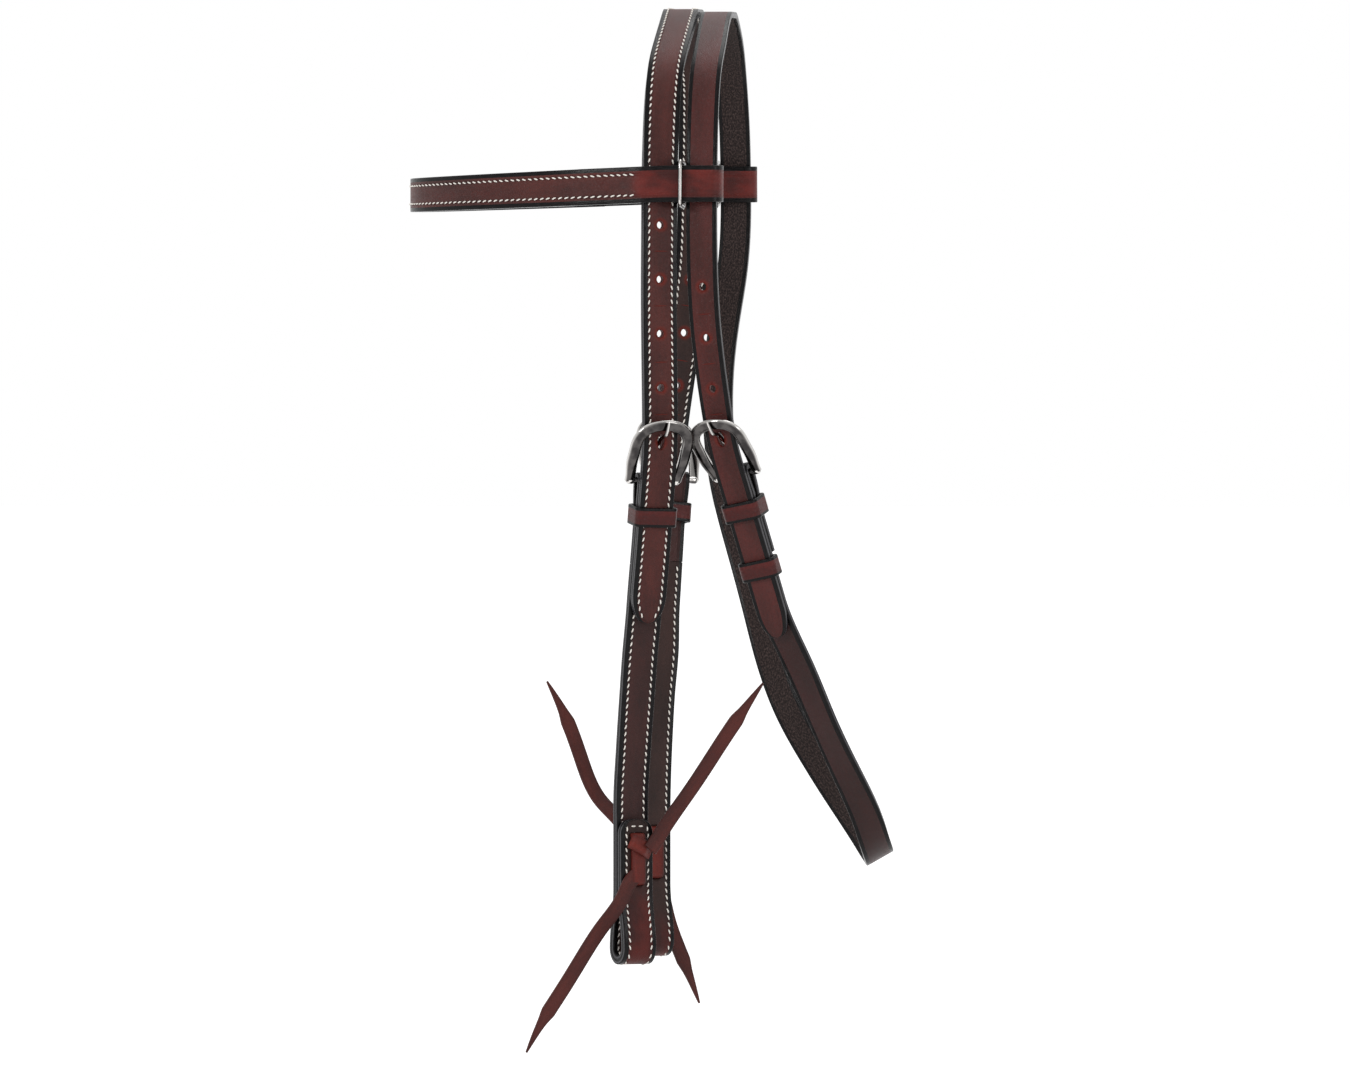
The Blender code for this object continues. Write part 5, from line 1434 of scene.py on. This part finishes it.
# %% Wire dividers
DIVIDER_WIRE = 0.0024
for side, side_name in SIDES:
    _, _, inner, outer, x = loop_boxes[side]
    half_y = (outer - inner) / 2 + BAND / 2 + 4 * GAP + DIVIDER_WIRE / 2
    half_z = BROW_WIDTH / 2 + 2 * GAP + DIVIDER_WIRE / 2
    lean = side * BROW_LEAN
    down = np.array([0.0, math.sin(lean), -math.cos(lean)])
    beside = np.cross([1.0, 0.0, 0.0], down)
    path, _ = rounded_loop(half_z, half_y, DIVIDER_WIRE)
    centre = np.array([x, side * (inner + outer) / 2, -BROW_DROP_share * HEAD_LENGTH])
    ring = centre + path[:, :1] * down + path[:, 1:] * beside
    made = tube(side_name + "_divider_wire", ring, np.full(len(ring), DIVIDER_WIRE / 2), [steel],
                np.array([1.0, 0.0, 0.0]), True)
    dress(made, "browband", "polished_steel", side_name + "_loop_divider")
print("dividers: 2")

# %% [markdown]
# ## Lace ties
#
# A strip of soft latigo leather passes through both slots, and its two tails are pulled
# through and left long. Each tail is a free strip: a flat lace, cut to a point, through
# the points that it follows.

# %% Lace tails
LACE_TAIL_UP = 0.100
LACE_TAIL_DOWN = 0.098
NEAR_TAIL_shares = {
    "up": ((0.164, 0.03, 0.235), (0.366, 0.06, 0.540), (0.550, 0.08, 0.797)),
    "down": ((-0.110, 0.02, -0.160), (-0.210, 0.05, -0.315), (-0.326, 0.10, -0.509),
             (-0.443, 0.14, -0.700), (-0.517, 0.16, -0.848))}
FAR_TAIL_shares = {
    "up": ((-0.122, 0.03, 0.130), (-0.224, 0.05, 0.343), (-0.316, 0.07, 0.583),
           (-0.417, 0.08, 0.772)),
    "down": ((0.039, 0.05, -0.175), (0.098, 0.075, -0.347), (0.158, 0.09, -0.503),
             (0.206, 0.10, -0.640))}
LACE_THIN = 0.8 * LACE_THICK
LACE_FRONT = DOUBLED / 2 + DOUBLED + GAP
LACE_LIE = LACE_FRONT + GAP + LACE_THICK / 2
LACE_OVER = LACE_LIE + LACE_THICK + GAP
LACE_TOP = LACE_OVER + LACE_THIN + GAP


def lace_places(side, way):
    """Listed places of a tail: the one that goes up starts over the knot, the other in
    the wrap by the lower slot, and each then passes the flap's edge."""
    base, across, outward = bit_frame(side)
    half = LACE_WIDTH / 2
    starts = {"up": [(1.15 * half, LACE_TOP, -1.90 * half), (2.0 * half, LACE_TOP, -0.80 * half),
                     (3.0 * half, LACE_TOP - 2 * GAP, 0.5 * half)],
              "down": [(-0.4 * half, LACE_LIE, 1.1 * half), (-1.2 * half, LACE_LIE, 0.25 * half),
                       (-2.3 * half, LACE_LIE + GAP, -1.7 * half)]}
    height = UPPER_SLOT - (SLOT_SPACING if way == "down" else 0.0)
    places = [base + across * (-side * u) + outward * n + UP * (height + z) for u, n, z in starts[way]]
    tail = (NEAR_TAIL_shares if side < 0 else FAR_TAIL_shares)[way]
    length = LACE_TAIL_UP if way == "up" else LACE_TAIL_DOWN
    first = places[-1]
    return places + [first + np.array([dx, side * dout, dz]) * length for dx, dout, dz in tail]


def tail_width(last):
    """Full width, cut back in a shoulder and then a long point, as a knife leaves it."""
    def width(runs):
        left = (last - np.asarray(runs, float)) / LACE_WIDTH
        share = np.interp(left, (0.0, 0.6, 1.8, 2.3, 3.0), (0.10, 0.26, 0.54, 0.68, 1.0))
        return LACE_WIDTH * share
    return width


def even_width(runs):
    return np.full(np.shape(runs), LACE_WIDTH)


def lace_strip(name, side, places, finish, width=None):
    """A flat lace through places, its width square to the line and to the flap's outside."""
    at, length = spline(places)
    points = at(np.linspace(0.0, length, 70))
    tangent = unit(np.gradient(points, axis=0))
    route = Route(points, np.cross(np.tile(bit_frame(side)[2], (len(points), 1)), tangent))
    width = width or tail_width(route.run[-1])
    made = strip(name, route, -LACE_THIN / 2, LACE_THIN / 2, width, [finish] * 3,
                 (0.0005, 0.0005), inset=1.0)
    return made, points


def lace_tail(name, side, way):
    piece, points = lace_strip(name, side, lace_places(side, way), latigo)
    path = points[::3]
    path[-1] = points[-1]
    real = float(run_along(path)[-1])
    dress(piece, "straps", "latigo_lace", name.replace("tail", "bit_lace_tail"))
    return real


for side, side_name in SIDES:
    lengths = [lace_tail(side_name + "_tail_" + way, side, way) for way in ("up", "down")]
    print(side_name, "lace tails", np.round(np.array(lengths) * 1e3, 1), "mm")

# %% Lace wraps and knots
KNOT_shares = ((-1.10, 0.00, -0.80), (-0.80, 0.80, -0.95), (-0.15, 1.02, -1.30), (0.70, 0.98, -1.75),
               (1.35, 0.30, -2.10), (1.75, 0.00, -2.30))
for side, side_name in SIDES:
    base, across, outward = bit_frame(side)
    back = -DOUBLED / 2
    half_n = (LACE_FRONT - back) / 2 + GAP + LACE_THICK / 2
    half_z = SLOT_SPACING / 2
    centre = base + outward * (LACE_FRONT + back) / 2 + UP * (UPPER_SLOT - SLOT_SPACING / 2)
    wrap = band(side_name + "_wrap", centre, (UP, outward, across), (half_z, half_n), LACE_THICK * 0.8,
                LACE_WIDTH, LACE_THICK, [red_latigo] * 3)
    dress(wrap, "straps", "latigo_lace", side_name + "_bit_lace_wrap")
    half = LACE_WIDTH / 2
    places = [base + across * (-side * u * half) + UP * (UPPER_SLOT + z * half)
              + outward * (LACE_LIE + n * (LACE_OVER - LACE_LIE)) for u, n, z in KNOT_shares]
    knot = lace_strip(side_name + "_knot", side, places, red_latigo, even_width)[0]
    dress(knot, "straps", "latigo_lace")
print("lace wraps and knots: 2 each")


# %% [markdown]
# ## Floor and light
#
# The object hangs over a pale floor in soft, even light. Camera rays see white in the world
# and a little more light on the floor, so the background is white while the lamps stay
# gentle on the leather and the floor keeps the shadow.

# %% Floor
FLOOR = -0.640
floor_mesh = bpy.data.meshes.new("floor")
corners = [(x, y, FLOOR) for x, y in ((-6, -6), (6, -6), (6, 30), (-6, 30))]
floor_mesh.from_pydata(corners, [], [(0, 1, 2, 3)])
floor = placed("floor", floor_mesh)
pale, tree, shader = new_material("Pale floor")


def seen_directly(tree):
    """One for rays from the camera, from gloss and through glass, zero for the rest."""
    camera_ray, glossy_ray, glass_ray = [add(tree, "LightPath", out="Is %s Ray" % kind)
                                         for kind in ("Camera", "Glossy", "Transmission")]
    seen = add(tree, "Math", camera_ray, glossy_ray, operation="ADD")
    return add(tree, "Math", seen, glass_ray, operation="ADD", use_clamp=True)


FLOOR_GLOW = 0.75
glow = add(tree, "Math", seen_directly(tree), FLOOR_GLOW, **TIMES)
fill(tree, shader, {"Base Color": "#e6e6e6", "Roughness": 0.9, "Emission Color": "#ffffff",
                    "Emission Strength": glow})
floor_mesh.materials.append(pale)

# %% World and lamps
world = bpy.data.worlds.new("studio")
scene.world = world
world.use_nodes = True
tree = world.node_tree
back = tree.nodes["Background"]
WORLD_LIGHT = 0.55
strength = add(tree, "Math", seen_directly(tree), 1.0 - WORLD_LIGHT, WORLD_LIGHT, **TIMES_PLUS)
fill(tree, back, {"Color": "#ffffff", "Strength": strength})


def soft_lamp(name, place, target, size, power):
    lamp = bpy.data.lights.new(name, "AREA")
    lamp.size = size
    lamp.energy = power
    aim = Vector(target) - Vector(place)
    turned = aim.to_track_quat("-Z", "Y").to_matrix().to_4x4()
    placed(name, lamp).matrix_world = Matrix.Translation(place) @ turned


soft_lamp("key", (-1.1, -1.6, 0.5), (0.0, 0.0, -0.25), 0.5, 14.0)
soft_lamp("fill", (1.5, -1.2, 0.1), (0.0, 0.0, -0.30), 0.6, 7.0)
soft_lamp("top", (0.2, 0.6, 1.3), (0.0, 0.0, -0.20), 1.0, 9.0)
